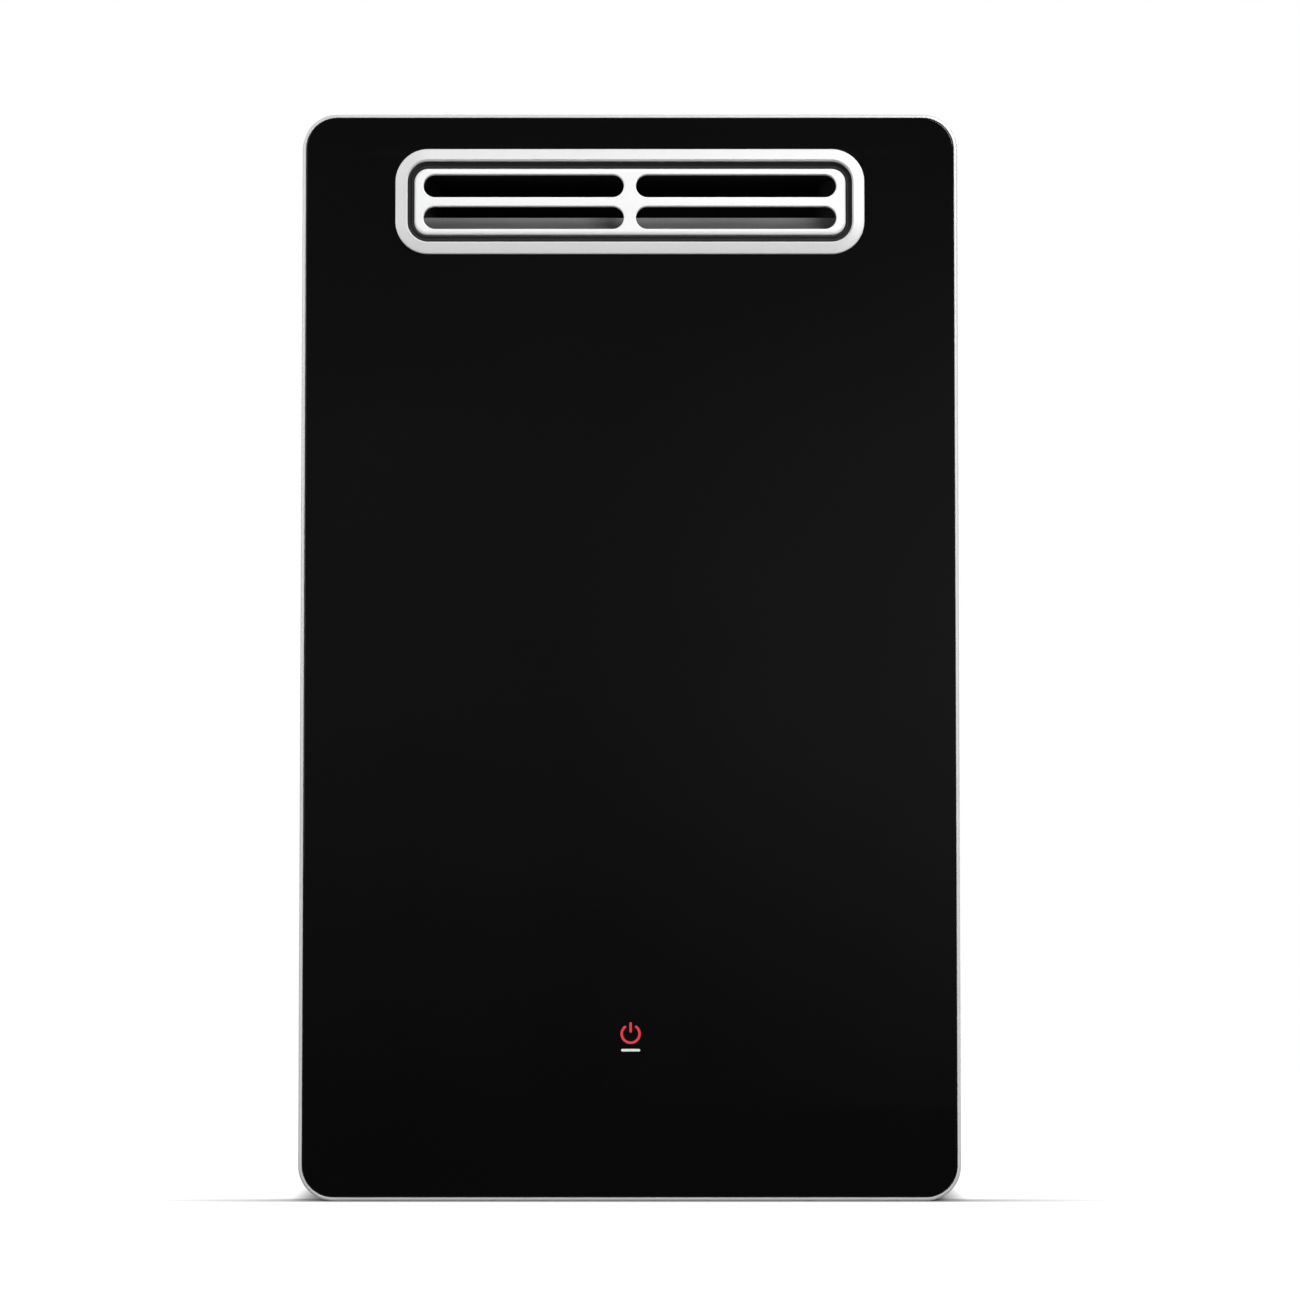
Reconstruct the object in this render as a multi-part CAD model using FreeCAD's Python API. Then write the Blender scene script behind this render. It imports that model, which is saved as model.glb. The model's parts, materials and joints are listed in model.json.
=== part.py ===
import FreeCAD, Part
import math
import os
from FreeCAD import Rotation, Vector

# Outdoor tankless gas water heater with a glass front, built as its separate pieces.
# Millimetres. +Z is up, +X is to the right and the glass faces -Y.
# The origin is on the standing surface, under the middle of the heater.

UP = Vector(0, 0, 1)
RIGHT = Vector(1, 0, 0)
REAR = Vector(0, 1, 0)
FRONT = Vector(0, -1, 0)
THROUGH = 1.0  # how far a cutting tool runs past the face that it opens

# Outer case
case_width = 393.5
case_height = 650.0
case_corner = 21.0
overall_depth = 172.0
cover_sheet = 1.2
cover_rear_gap = 3.0  # from the cover's rear edge to the back panel's rear face
fit_gap = 0.1  # between pieces that plug into each other and don't move
running_gap = 0.05  # between a turning or sliding piece and its bearing
end_gap = 1.0  # from the end of a turning or sliding piece to the bottom of its hole

# Glass, its frame and its tape
frame_rim = 2.1
frame_depth = 12.0
frame_proud = 0.3
frame_bevel = 0.9
frame_fit = 0.2
glass_gap = 0.3
glass_thickness = 3.2
glass_arris = 0.5
tape_thickness = 0.8
tape_width = 10.0
tape_margin = 7.0

# Exhaust outlet in the front
grille_drop = 53.0  # from the top of the case to the middle of the grille
bezel_width = 283.0
bezel_height = 64.0
bezel_corner = 20.0
bezel_band = 8.2
bezel_proud = 3.0
bezel_edge = 0.7
collar_wall = 2.4
collar_reach = 8.0  # how far the collar runs behind the front of the glass
collar_gap = 0.5
slot_length = 120.4
slot_height = 13.3
slot_bar = 5.9
slot_post = 7.2
grille_side = 6.0
grille_edge = 4.0
grille_corner = 8.4
grille_thickness = 4.0
grille_sink = 2.0
grille_bevel = 1.8
seal_sink = 3.2
seal_depth = 4.3

# Touch control behind the glass
icon_height = 100.0
touch_window_width = 66.0
touch_window_height = 56.0
touch_board_thickness = 1.6
touch_board_gap = 1.0
touch_case_flange = 8.0
touch_case_depth = 11.0
touch_case_wall = 2.0

# Back panel, bottom plate and wall brackets
wall_standoff = 8.0
back_sheet = 1.2
side_gap = 0.6
tray_depth = 34.0
swage_offset = 95.0
swage_width = 24.0
swage_depth = 3.0
swage_slope = 4.0
swage_low = 135.0
swage_high = 125.0  # from the top of the case
recess_depth = 46.0
plate_sheet = 1.5
plate_flange = 12.0
plate_front_gap = 8.8
seal_height = 10.0
seal_inset = 3.5
skirt_notch_width = 200.0
air_slot_count = 7
air_slot_pitch = 16.0
air_slot_width = 7.0
air_slot_length = 44.0
air_slot_gap = 32.0  # from the gas connection to the first slot
air_slot_setback = 9.0  # from the bottom plate's front edge
cover_mouth_margin = 26.75  # from the side of the case to the open part of its underside
cover_mouth_front = 18.0
bracket_sheet = 1.6
bracket_width = 260.0
bracket_flange = 32.0
bracket_joggle = 10.0
bracket_rise = 22.0  # how far the upper bracket stands above the case
lower_bracket_width = 180.0
lower_bracket_edge = 8.0
wall_slot_length = 20.0
wall_slot_radius = 3.2
upper_slot_offset = 90.0
lower_slot_offset = 60.0
upper_slot_drop = 11.0
lower_slot_rise = 16.0

# Notches in the cover's rear edge that hook behind its side screws
notch_width = 6.0
notch_depth = 18.0
notch_end = 90.0  # from the bottom and from the top of the case

# Water and gas connections through the bottom plate
port_inset = 46.75  # from the side of the case to the water connections
gas_spacing = 70.0  # from the hot water connection to the gas connection
gas_setback = 27.0  # from the bottom plate's front edge
thread_radius = 13.2
thread_end = 8.0
port_bore = 7.5
block_width = 34.0
block_height = 32.0
branch_run = 36.0
branch_width = 26.0
branch_height = 24.0
bridge_width = 14.0
bridge_low = 6.0
bridge_high = 21.0
plate_hole_gap = 1.2  # round a threaded end where it goes through the bottom plate
branch_seat = 0.6  # how far the rim of a branch overlaps the plate
conduit_radius = 11.1
conduit_setback = 37.0

# Filter plug and relief valve in the branches
plug_hex = 20.0
plug_head = 14.0
relief_hex = 21.0
relief_hex_height = 10.0
relief_barrel_width = 17.0
relief_barrel = 20.0
relief_bore = 5.0
relief_bore_depth = 12.0
lever_pin_radius = 2.2
lever_pin_offset = 13.0
lever_pin_height = 28.0
lever_width = 9.0
lever_length = 19.0
lever_thickness = 2.4
ear_thickness = 2.0
ear_gap = 0.3
ear_height = 9.0

# Column of burner, combustion chamber and heat exchanger
side_bay = 78.75  # from the side of the case to the column
column_front_gap = 33.8  # from the cover's front sheet to the column
column_rear_gap = 12.8  # from the column to the back panel
column_sheet = 1.0
fan_bay_height = 137.5
burner_height = 105.0
chamber_height = 140.0
exchanger_height = 64.0
lining_thickness = 8.0
lining_window_width = 130.0
lining_window_height = 56.0
bar_margin = 17.0  # from the side of the column to the middle of the outer bar, at least
bar_pitch = 25.0
bar_thickness = 15.0
bar_lift = 14.0
bar_throat = 18.0
bar_neck = 16.0
bar_taper = 4.0
bar_crown = 16.0
bar_top_gap = 4.0
nozzle_hex = 7.0
nozzle_gap = 2.0
manifold_depth = 14.0
manifold_height = 18.0
manifold_gap = 8.0
manifold_end = 9.0
manifold_edge = 2.0
tube_margin = 19.0  # from the front of the column to the middle of the outer tube, at least
tube_pitch = 34.0
tube_radius = 9.0
tube_sides = 12
header_depth = 16.0
header_height = 30.0
header_edge = 3.0
port_arm = 22.0
fin_margin = 20.0  # from the side of the column to the outer fin, at least
fin_pitch = 24.0
fin_thickness = 0.8
fin_height = 48.0
rear_bracket_width = 160.0
rear_bracket_flange = 16.0
rear_bracket_sheet = 1.2
rear_bracket_lift = 24.0

# Flue hood and its baffle
throat_gap = 2.2  # between the throat and the bezel's collar
throat_setback = 1.5  # from the rear of the grille's seal to the throat
throat_straight = 14.0
hood_flare = 40.0
hood_neck = 60.0
hood_slope = 18.0
baffle_sheet = 1.0
baffle_setback = 2.0
baffle_rise = 15.0
baffle_run = 16.0
baffle_shelf = 24.0

# Ignition parts on the chamber's front wall
electrode_spacing = 30.0
electrode_x = -25.0
electrode_height = 16.0
insulator_width = 8.0
insulator_collar = 12.0
insulator_length = 14.0
insulator_inside = 12.0
electrode_width = 2.4
electrode_reach = 20.0
electrode_tab = 6.0
sight_x = 45.0
sight_height = 36.0
sight_opening = 18.0
sight_plate = 30.0
sight_thickness = 2.0
igniter_width = 20.0
igniter_depth = 40.0
igniter_height = 35.0
igniter_lift = 30.0

# Fan under the burner
fan_inset = 86.0  # from the right side of the column to the fan's axis
fan_axis_height = 64.5
fan_width = 52.0
fan_wall = 1.5
impeller_radius = 42.0
impeller_gap = 5.0
impeller_setback = 3.5
impeller_width = 40.0
volute_step = 4.0
fan_inlet_radius = 30.0
fan_outlet_width = 49.0
fan_outlet_flange = 8.0
blade_count = 14
blade_depth = 11.0
blade_thickness = 1.2
blade_bow = 1.6
blade_lean = 5.0
blade_edge = 0.6
impeller_disc = 1.6
impeller_ring = 2.5
hub_width = 16.0
hub_length = 14.0
shaft_radius = 3.0
shaft_hole_width = 16.0
shaft_in_motor = 16.0
motor_width = 42.0
motor_length = 25.0
motor_edge = 5.0

# Gas valve and its pipe
valve_width = 72.0
valve_depth = 48.0
valve_height = 50.0
valve_boss_width = 34.0
valve_boss_height = 14.5
plunger_offset = 22.0
plunger_radius = 4.5
plunger_sides = 12
plunger_length = 19.0
plunger_lift = 3.0
coil_width = 26.0
coil_cap = 4.0
gas_pipe_radius = 7.0

# Water flow sensor and water valve
sensor_width = 30.0
sensor_length = 33.0
sensor_bore = 9.5
sensor_bar = 6.0
rotor_radius = 8.8
rotor_blade = 1.2
rotor_vane_height = 14.0
rotor_spindle_radius = 2.0
rotor_spindle_end = 2.0
pickup_width = 16.0
pickup_depth = 9.0
pickup_height = 20.0
water_valve_size = 36.0
water_valve_height = 38.0
water_valve_edge = 4.0
water_way = 14.0
flap_gap = 0.4
flap_thickness = 2.0
flap_stem_radius = 3.0
flap_stem = 16.0
stepper_size = 26.0
stepper_length = 24.0

pipe_radius = 7.5

# Electrical parts
supply_gap = 14.0  # from the power supply to the cold water connection's axis
supply_width = 48.0
supply_setback = 3.0  # from the bottom plate's front edge
supply_depth = 52.0
supply_height = 60.0
supply_edge = 3.0
control_gap = 10.0  # between the side of the column and the control unit
control_width = 60.0
control_lift = 11.0  # above the bottom of the burner
control_height = 200.0
control_setback = 11.8  # from the cover's front sheet
control_depth = 34.0
control_wall = 2.0
control_step = 2.0
control_lug = 12.0
control_lug_spacing = 120.0
board_thickness = 1.6
board_sink = 18.0



def spread(middle, reach, pitch):
    """Evenly spaced places about a middle, as many as fit within reach on each side."""
    count = int(2 * reach / pitch) + 1
    return [middle + pitch * (i - (count - 1) / 2) for i in range(count)]


# Planes across the depth, from the wall forwards
y_wall = overall_depth / 2
y_back = y_wall - wall_standoff
y_back_in = y_back - back_sheet
y_cover_rear = y_back - cover_rear_gap
y_bezel = -overall_depth / 2
y_glass = y_bezel + bezel_proud
y_tape = y_glass + glass_thickness
y_face = y_tape + tape_thickness
y_face_in = y_face + cover_sheet
y_frame = y_glass - frame_proud
y_shoulder = y_frame + frame_depth
y_plate_front = y_face_in + plate_front_gap
y_seal_rear = y_bezel + seal_sink + seal_depth
y_column_front = y_face_in + column_front_gap
y_column_rear = y_back_in - column_rear_gap
column_y = (y_column_front + y_column_rear) / 2

# Levels, from the standing surface upwards
z_plate = recess_depth
z_floor = z_plate + plate_sheet
z_block = z_floor + block_height
z_sensor = z_block + sensor_length
z_water_valve = z_sensor + water_valve_height
z_burner = z_floor + fan_bay_height
z_chamber = z_burner + burner_height
z_exchanger = z_chamber + chamber_height
z_hood = z_exchanger + exchanger_height
z_tubes = z_exchanger + exchanger_height / 2
z_fan = z_floor + fan_axis_height
z_valve = z_floor + valve_boss_height
z_valve_top = z_valve + valve_height
z_rotor_low = z_block + sensor_bar
z_rotor_high = z_sensor - sensor_bar
z_valve_axis = z_sensor + water_valve_height / 2
z_arm = z_tubes - port_arm / 2
z_electrode = z_chamber + electrode_height
z_sight = z_chamber + sight_height
z_grille = case_height - grille_drop
z_manifold = z_burner + bar_lift + bar_throat / 2

# Sizes that follow from the ones above
column_width = case_width - 2 * side_bay
port_offset = case_width / 2 - port_inset
gas_x = gas_spacing - port_offset
gas_y = y_plate_front + gas_setback
mid_height = case_height / 2
shoulder_inset = frame_rim + frame_fit
glass_inset = frame_rim + glass_gap
opening_width = bezel_width - 2 * bezel_band
opening_height = bezel_height - 2 * bezel_band
opening_corner = bezel_corner - bezel_band
grille_width = 2 * grille_side + 2 * slot_length + slot_post
grille_height = 2 * grille_edge + 2 * slot_height + slot_bar
back_inset = cover_sheet + side_gap
chassis_half = case_width / 2 - back_inset - back_sheet
throat_width = opening_width - 2 * throat_gap
throat_height = opening_height - 2 * throat_gap
tube_rows = spread(column_y, y_column_rear - column_y - tube_margin, tube_pitch)
manifold_front = y_column_front - manifold_gap - manifold_depth
gas_pipe_y = manifold_front + manifold_depth / 2
cold_y, hot_y = tube_rows[-1], tube_rows[0]
cold_branch_y, hot_branch_y = cold_y - branch_run, hot_y + branch_run
plunger_rows = [gas_x - plunger_offset, gas_x + plunger_offset]
bar_rows = spread(0, column_width / 2 - bar_margin, bar_pitch)
fin_rows = spread(0, column_width / 2 - fin_margin, fin_pitch)
electrode_rows = [electrode_x + electrode_spacing * i for i in (-1, 0, 1)]
fan_x = column_width / 2 - fan_inset
fan_front = column_y - fan_width / 2
y_impeller = fan_front + fan_wall + impeller_setback
y_motor = fan_front + fan_width
fan_left = fan_x - impeller_radius - impeller_gap - 3 * volute_step
control_left = column_width / 2 + control_gap
control_front = y_face_in + control_setback
control_bottom = z_burner + control_lift
y_throat = y_seal_rear + throat_setback
y_flare = y_throat + throat_straight
insulator_hole = insulator_width / math.cos(math.pi / 6) + 2 * fit_gap
coil_bore = plunger_length + plunger_lift + end_gap


def box(x0, x1, y0, y1, z0, z1):
    """A block between two corners."""
    return Part.makeBox(x1 - x0, y1 - y0, z1 - z0, Vector(x0, y0, z0))


def rounded_outline(width, height, corner, y, x=0.0, z=mid_height):
    """A closed wire round a rectangle with rounded corners, in the upright plane at y."""
    reach_x, reach_z = width / 2 - corner, height / 2 - corner
    edges, last, first = [], None, None
    for quarter in range(4):
        middle = math.radians(90 * quarter + 45)
        cx = x + math.copysign(reach_x, math.cos(middle))
        cz = z + math.copysign(reach_z, math.sin(middle))
        start, mid, end = (
            Vector(cx + corner * math.cos(middle + turn), y, cz + corner * math.sin(middle + turn))
            for turn in (-math.pi / 4, 0, math.pi / 4)
        )
        if last is not None and last.distanceToPoint(start) > 1e-6:
            edges.append(Part.makeLine(last, start))
        edges.append(Part.Arc(start, mid, end).toShape())
        first = first or start
        last = end
    if last.distanceToPoint(first) > 1e-6:
        edges.append(Part.makeLine(last, first))
    return Part.Wire(edges)


def slab(width, height, corner, y0, y1, x=0.0, z=mid_height):
    """A plate with rounded corners that faces the front, from y0 back to y1."""
    face = Part.Face(rounded_outline(width, height, corner, y0, x, z))
    return face.extrude(Vector(0, y1 - y0, 0))


def case_slab(inset, y0, y1):
    """A slab with the outline of the case, drawn in by inset all round."""
    return slab(case_width - 2 * inset, case_height - 2 * inset, case_corner - inset, y0, y1)


def outlet_slab(grow, y0, y1):
    """A slab with the outline of the exhaust opening, grown by grow all round."""
    width, height = opening_width + 2 * grow, opening_height + 2 * grow
    return slab(width, height, opening_corner + grow, y0, y1, z=z_grille)


def outlet_box(grow, y0, y1):
    """A block round the exhaust opening, grown by grow all round."""
    half_x, half_z = opening_width / 2 + grow, opening_height / 2 + grow
    return box(-half_x, half_x, y0, y1, z_grille - half_z, z_grille + half_z)


def edges_in_plane(shape, y):
    """The edges of a shape that lie flat in the upright plane at y."""
    boxes = [(e, e.BoundBox) for e in shape.Edges]
    return [e for e, b in boxes if abs(b.YMin - y) < 1e-4 and abs(b.YMax - y) < 1e-4]


def prism_x(points, x0, x1):
    """A (y, z) outline drawn out from x0 to x1."""
    loop = [Vector(x0, y, z) for y, z in points]
    return Part.Face(Part.makePolygon(loop + loop[:1])).extrude(Vector(x1 - x0, 0, 0))


def prism_y(points, y0, y1):
    """An (x, z) outline drawn out from y0 to y1."""
    loop = [Vector(x, y0, z) for x, z in points]
    return Part.Face(Part.makePolygon(loop + loop[:1])).extrude(Vector(0, y1 - y0, 0))


def prism_z(points, z0, z1):
    """An (x, y) outline drawn out from z0 to z1."""
    loop = [Vector(x, y, z0) for x, y in points]
    return Part.Face(Part.makePolygon(loop + loop[:1])).extrude(Vector(0, 0, z1 - z0))


def placed(shape, base, axis):
    """A shape made along +Z from the origin, moved to base and turned to point along axis."""
    shape.Placement = FreeCAD.Placement(base, Rotation(UP, axis))
    return shape


def rod(radius, length, base, axis=UP):
    """A round bar."""
    return Part.makeCylinder(radius, length, base, axis)


def polygon_bar(sides, across_flats, length, base, axis=UP):
    """A bar with a regular polygon for its section."""
    half_turn = math.pi / sides
    corner = across_flats / 2 / math.cos(half_turn)
    turns = [(2 * k + 1) * half_turn for k in range(sides)]
    loop = [Vector(corner * math.cos(t), corner * math.sin(t), 0) for t in turns]
    return placed(Part.Face(Part.makePolygon(loop + loop[:1])).extrude(UP * length), base, axis)


def fused(pieces):
    """One solid from pieces that meet, with the seams between flush faces removed."""
    return pieces[0].fuse(pieces[1:]).removeSplitter()


def wall_slot(x, z):
    """A tool for one level slot through a wall bracket."""
    depth = 2 * wall_standoff
    return slab(wall_slot_length, 2 * wall_slot_radius, wall_slot_radius, y_wall - depth,
                y_wall + THROUGH, x, z)


# Cover and what it carries


def front_cover():
    """Deep-drawn sheet cover with a stepped front, open at the rear and over the pipe recess."""
    outer = case_slab(0, y_shoulder, y_cover_rear).fuse(case_slab(shoulder_inset, y_face, y_shoulder))
    deep = case_slab(cover_sheet, y_shoulder + cover_sheet, y_cover_rear + THROUGH)
    front = case_slab(shoulder_inset + cover_sheet, y_face_in, y_shoulder + cover_sheet)
    shell = outer.cut(deep.fuse(front)).removeSplitter()
    half_mouth = case_width / 2 - cover_mouth_margin
    cuts = [
        outlet_box(collar_wall + collar_gap, y_face - THROUGH, y_face_in + THROUGH),
        touch_box(0, y_face - THROUGH, y_face_in + THROUGH),
        box(-half_mouth, half_mouth, y_face + cover_mouth_front, y_cover_rear + THROUGH, -THROUGH,
            cover_sheet + THROUGH),
    ]
    reach = case_width / 2 + THROUGH
    for z in (notch_end, case_height - notch_end):
        cuts.append(box(-reach, reach, y_cover_rear - notch_depth, y_cover_rear + THROUGH,
                        z - notch_width / 2, z + notch_width / 2))
    return shell.cut(cuts)


def front_frame():
    """Slim frame that runs round the edge of the glass and seats on the cover's shoulder."""
    ring = case_slab(0, y_frame, y_shoulder)
    ring = ring.makeChamfer(frame_bevel, edges_in_plane(ring, y_frame))
    return ring.cut(case_slab(frame_rim, y_frame - THROUGH, y_shoulder + THROUGH))


def glass_panel():
    """Tempered glass front with the exhaust window ground out of it."""
    pane = case_slab(glass_inset, y_glass, y_tape)
    pane = pane.cut(outlet_box(collar_wall + collar_gap, y_glass - THROUGH, y_tape + THROUGH))
    return pane.makeChamfer(glass_arris, edges_in_plane(pane, y_glass))


def glass_tape():
    """Foam tape that bonds the glass to the cover."""
    half_x = case_width / 2 - glass_inset - tape_margin
    half_z = case_height / 2 - glass_inset - tape_margin
    ring = box(-half_x, half_x, y_tape, y_face, mid_height - half_z, mid_height + half_z)
    half_x, half_z = half_x - tape_width, half_z - tape_width
    return ring.cut(box(-half_x, half_x, y_tape - THROUGH, y_face + THROUGH, mid_height - half_z,
                        mid_height + half_z))


def exhaust_bezel():
    """Flat ring round the exhaust outlet, with a collar that goes through the glass and the cover."""
    ring = slab(bezel_width, bezel_height, bezel_corner, y_bezel, y_glass, z=z_grille)
    ring = ring.fuse(outlet_box(collar_wall, y_glass, y_glass + collar_reach))
    ring = ring.cut(outlet_slab(0, y_bezel - THROUGH, y_seal_rear))
    ring = ring.cut(outlet_box(0, y_seal_rear, y_glass + collar_reach + THROUGH))
    return ring.makeChamfer(bezel_edge, edges_in_plane(ring, y_bezel))


def grille_slots(shrink=0.0):
    """Centre, width and height of each of the four exhaust slots."""
    dx, dz = (slot_post + slot_length) / 2, (slot_bar + slot_height) / 2
    return [(sx * dx, z_grille + sz * dz, slot_length - shrink, slot_height - shrink) for sx in (-1, 1)
            for sz in (-1, 1)]


def exhaust_grille():
    """Cast plate with four long slots, rounded towards the seal."""
    y0 = y_bezel + grille_sink
    plate = slab(grille_width, grille_height, grille_corner, y0, y0 + grille_thickness, z=z_grille)
    plate = plate.makeChamfer(grille_bevel, edges_in_plane(plate, y0))
    for x, z, width, height in grille_slots():
        plate = plate.cut(slab(width, height, height / 2, y0 - THROUGH, y0 + grille_thickness + THROUGH,
                               x, z))
    return plate


def grille_seal():
    """Black silicone ring that fills the gap round the grille and carries it by its edge."""
    ring = outlet_slab(0, y_bezel + seal_sink, y_seal_rear)
    return ring.cut(slab(grille_width, grille_height, grille_corner, y_bezel, y_seal_rear + THROUGH,
                         z=z_grille))


def touch_box(grow, y0, y1):
    """A block with the outline of the touch window, grown by grow all round."""
    half_x, half_z = touch_window_width / 2 + grow, touch_window_height / 2 + grow
    return box(-half_x, half_x, y0, y1, icon_height - half_z, icon_height + half_z)


def touch_board():
    """Circuit board that presses on the back of the glass behind the power icon."""
    return touch_box(-touch_board_gap, y_tape, y_tape + touch_board_thickness)


def touch_case():
    """Plastic cup behind the touch board, stuck to the inside of the cover."""
    y0 = y_tape + touch_board_thickness
    rear = y_face_in + touch_case_depth
    cup = touch_box(-touch_board_gap, y0, y_face_in).fuse(touch_box(touch_case_flange, y_face_in, rear))
    return cup.cut(touch_box(-touch_board_gap - touch_case_wall, y0 - THROUGH,
                             rear - touch_case_wall)).removeSplitter()


# Case: back panel, bottom plate and brackets


def swage(x, y0, half_x, inset):
    """The form of a pressed rib in the back panel: long, flat-topped and sloping at its sides."""
    y1, rise = y0 + back_sheet + swage_depth, swage_slope
    outline = [(x - half_x, y0), (x + half_x, y0), (x + half_x - rise, y1), (x - half_x + rise, y1)]
    return prism_z(outline, swage_low + inset, case_height - swage_high - inset)


def back_panel():
    """Shallow tray with a flanged edge, pressed ribs and an open lower edge behind the pipes."""
    y_edge = y_back - tray_depth
    tray = case_slab(back_inset, y_edge, y_back)
    tray = tray.cut(case_slab(back_inset + back_sheet, y_edge - THROUGH, y_back_in))
    for x in (-swage_offset, swage_offset):
        tray = tray.fuse(swage(x, y_back - back_sheet, swage_width / 2, 0))
        tray = tray.cut(swage(x, y_back_in - back_sheet, swage_width / 2 - back_sheet, back_sheet))
    half, reach = case_width / 2 - case_corner, case_width / 2
    half_notch = skirt_notch_width / 2
    return tray.cut([
        box(-half, half, y_edge - THROUGH, y_back_in, 0, case_corner),
        box(-half_notch, half_notch, y_back_in - THROUGH, y_back + THROUGH, 0, z_plate - plate_sheet),
    ])


def bottom_plate():
    """Folded floor of the case, set up inside the skirt, with its pipe holes and air slots."""
    tray = box(-chassis_half, chassis_half, y_plate_front, y_back_in, z_plate, z_plate + plate_flange)
    inside = box(-chassis_half + plate_sheet, chassis_half - plate_sheet, y_plate_front + plate_sheet,
                 y_back_in - plate_sheet, z_floor, z_plate + plate_flange + THROUGH)
    low, high = z_plate - THROUGH, z_floor + THROUGH
    cuts = [inside]
    for x, y in ((port_offset, cold_y), (-port_offset, hot_y), (gas_x, gas_y)):
        hole = 2 * (thread_radius + plate_hole_gap)
        cuts.append(polygon_bar(8, hole, high - low, Vector(x, y, low)))
    for x, y in ((port_offset, cold_branch_y), (-port_offset, hot_branch_y)):
        hole = branch_width - 2 * branch_seat
        cuts.append(polygon_bar(8, hole, high - low, Vector(x, y, low)))
    cuts.append(rod(conduit_radius, high - low, Vector(port_offset, y_plate_front + conduit_setback, low)))
    y0 = y_plate_front + air_slot_setback
    for i in range(air_slot_count):
        x = gas_x + air_slot_gap + air_slot_pitch * i
        cuts.append(box(x - air_slot_width / 2, x + air_slot_width / 2, y0, y0 + air_slot_length, low, high))
    return tray.cut(cuts)


def bottom_seal():
    """Foam strip that the cover closes against."""
    half = case_width / 2 - shoulder_inset - cover_sheet - seal_inset
    return box(-half, half, y_face_in, y_plate_front, z_floor, z_floor + seal_height)


def wall_bracket(width, edge, toward):
    """Z-shaped bracket: flat on the wall at its edge and flat on the back panel at its other end."""
    knee = edge + toward * bracket_flange
    step = knee + toward * bracket_joggle
    end = step + toward * bracket_flange
    y_sheet = y_wall - bracket_sheet
    profile = [(y_wall, edge), (y_wall, knee), (y_back + bracket_sheet, step),
               (y_back + bracket_sheet, end),
               (y_back, end), (y_back, step), (y_sheet, knee), (y_sheet, edge)]
    return prism_x(profile, -width / 2, width / 2)


def upper_wall_bracket():
    """Upper bracket with two level slots."""
    edge = case_height + bracket_rise
    z = edge - upper_slot_drop
    return wall_bracket(bracket_width, edge, -1).cut([wall_slot(x, z)
                                                      for x in (-upper_slot_offset, upper_slot_offset)])


def lower_wall_bracket():
    """Lower bracket with two level slots, under the bottom plate."""
    z = lower_bracket_edge + lower_slot_rise
    slots = [wall_slot(x, z) for x in (-lower_slot_offset, lower_slot_offset)]
    return wall_bracket(lower_bracket_width, lower_bracket_edge, 1).cut(slots)


# Water and gas connections


def nipple(x, y):
    """Threaded end of a connection, down through the bottom plate."""
    return rod(thread_radius, z_floor - thread_end, Vector(x, y, thread_end))


def water_body(x, y, branch_y):
    """Brass body on the bottom plate: threaded end below, pipe bore through and a closed branch."""
    half = bridge_width / 2
    body = fused([
        nipple(x, y),
        polygon_bar(8, block_width, block_height, Vector(x, y, z_floor)),
        polygon_bar(8, branch_width, branch_height, Vector(x, branch_y, z_floor)),
        box(x - half, x + half, min(y, branch_y), max(y, branch_y), z_floor + bridge_low,
            z_floor + bridge_high),
    ])
    return body.cut(rod(port_bore, z_block - thread_end, Vector(x, y, thread_end)))


def inlet_filter_plug():
    """Hexagon plug that closes the strainer under the cold water branch."""
    return polygon_bar(6, plug_hex, plug_head, Vector(port_offset, cold_branch_y, z_floor - plug_head))


def relief_valve():
    """Relief and drain valve under the hot water branch, with two slotted ears for its lever."""
    x, y = -port_offset, hot_branch_y
    z_hex = z_floor - relief_hex_height
    z_barrel = z_hex - relief_barrel
    half = lever_width / 2 + ear_gap
    pin = lever_pin_radius + running_gap
    y_pin = y + lever_pin_offset
    z_ear = lever_pin_height - ear_height / 2
    pieces = [
        polygon_bar(6, relief_hex, relief_hex_height, Vector(x, y, z_hex)),
        polygon_bar(8, relief_barrel_width, relief_barrel, Vector(x, y, z_barrel)),
    ]
    for x0 in (x - half - ear_thickness, x + half):
        pieces.append(box(x0, x0 + ear_thickness, y, y_pin + 2 * pin, z_ear, z_ear + ear_height))
    slot = box(x - relief_hex, x + relief_hex, y_pin - pin, y_pin + pin, lever_pin_height - pin,
               z_ear + ear_height + THROUGH)
    between = box(x - half, x + half, y + relief_barrel_width / 2 + ear_gap, y_pin + relief_hex, z_ear,
                  z_ear + ear_height)
    bore = rod(relief_bore, relief_bore_depth, Vector(x, y, z_barrel))
    return fused(pieces).cut([slot, between, bore])


def relief_lever():
    """Lever that lifts the relief valve, on its pin."""
    x, y = -port_offset, hot_branch_y + lever_pin_offset
    reach = lever_width / 2 + ear_gap + ear_thickness
    pin = rod(lever_pin_radius, 2 * reach, Vector(x - reach, y, lever_pin_height), RIGHT)
    half, t = lever_width / 2, lever_thickness / 2
    return pin.fuse(box(x - half, x + half, y - t, y + t, lever_pin_height - lever_length,
                        lever_pin_height))


# Water side above the plate: flow sensor, water valve and pipes


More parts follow.
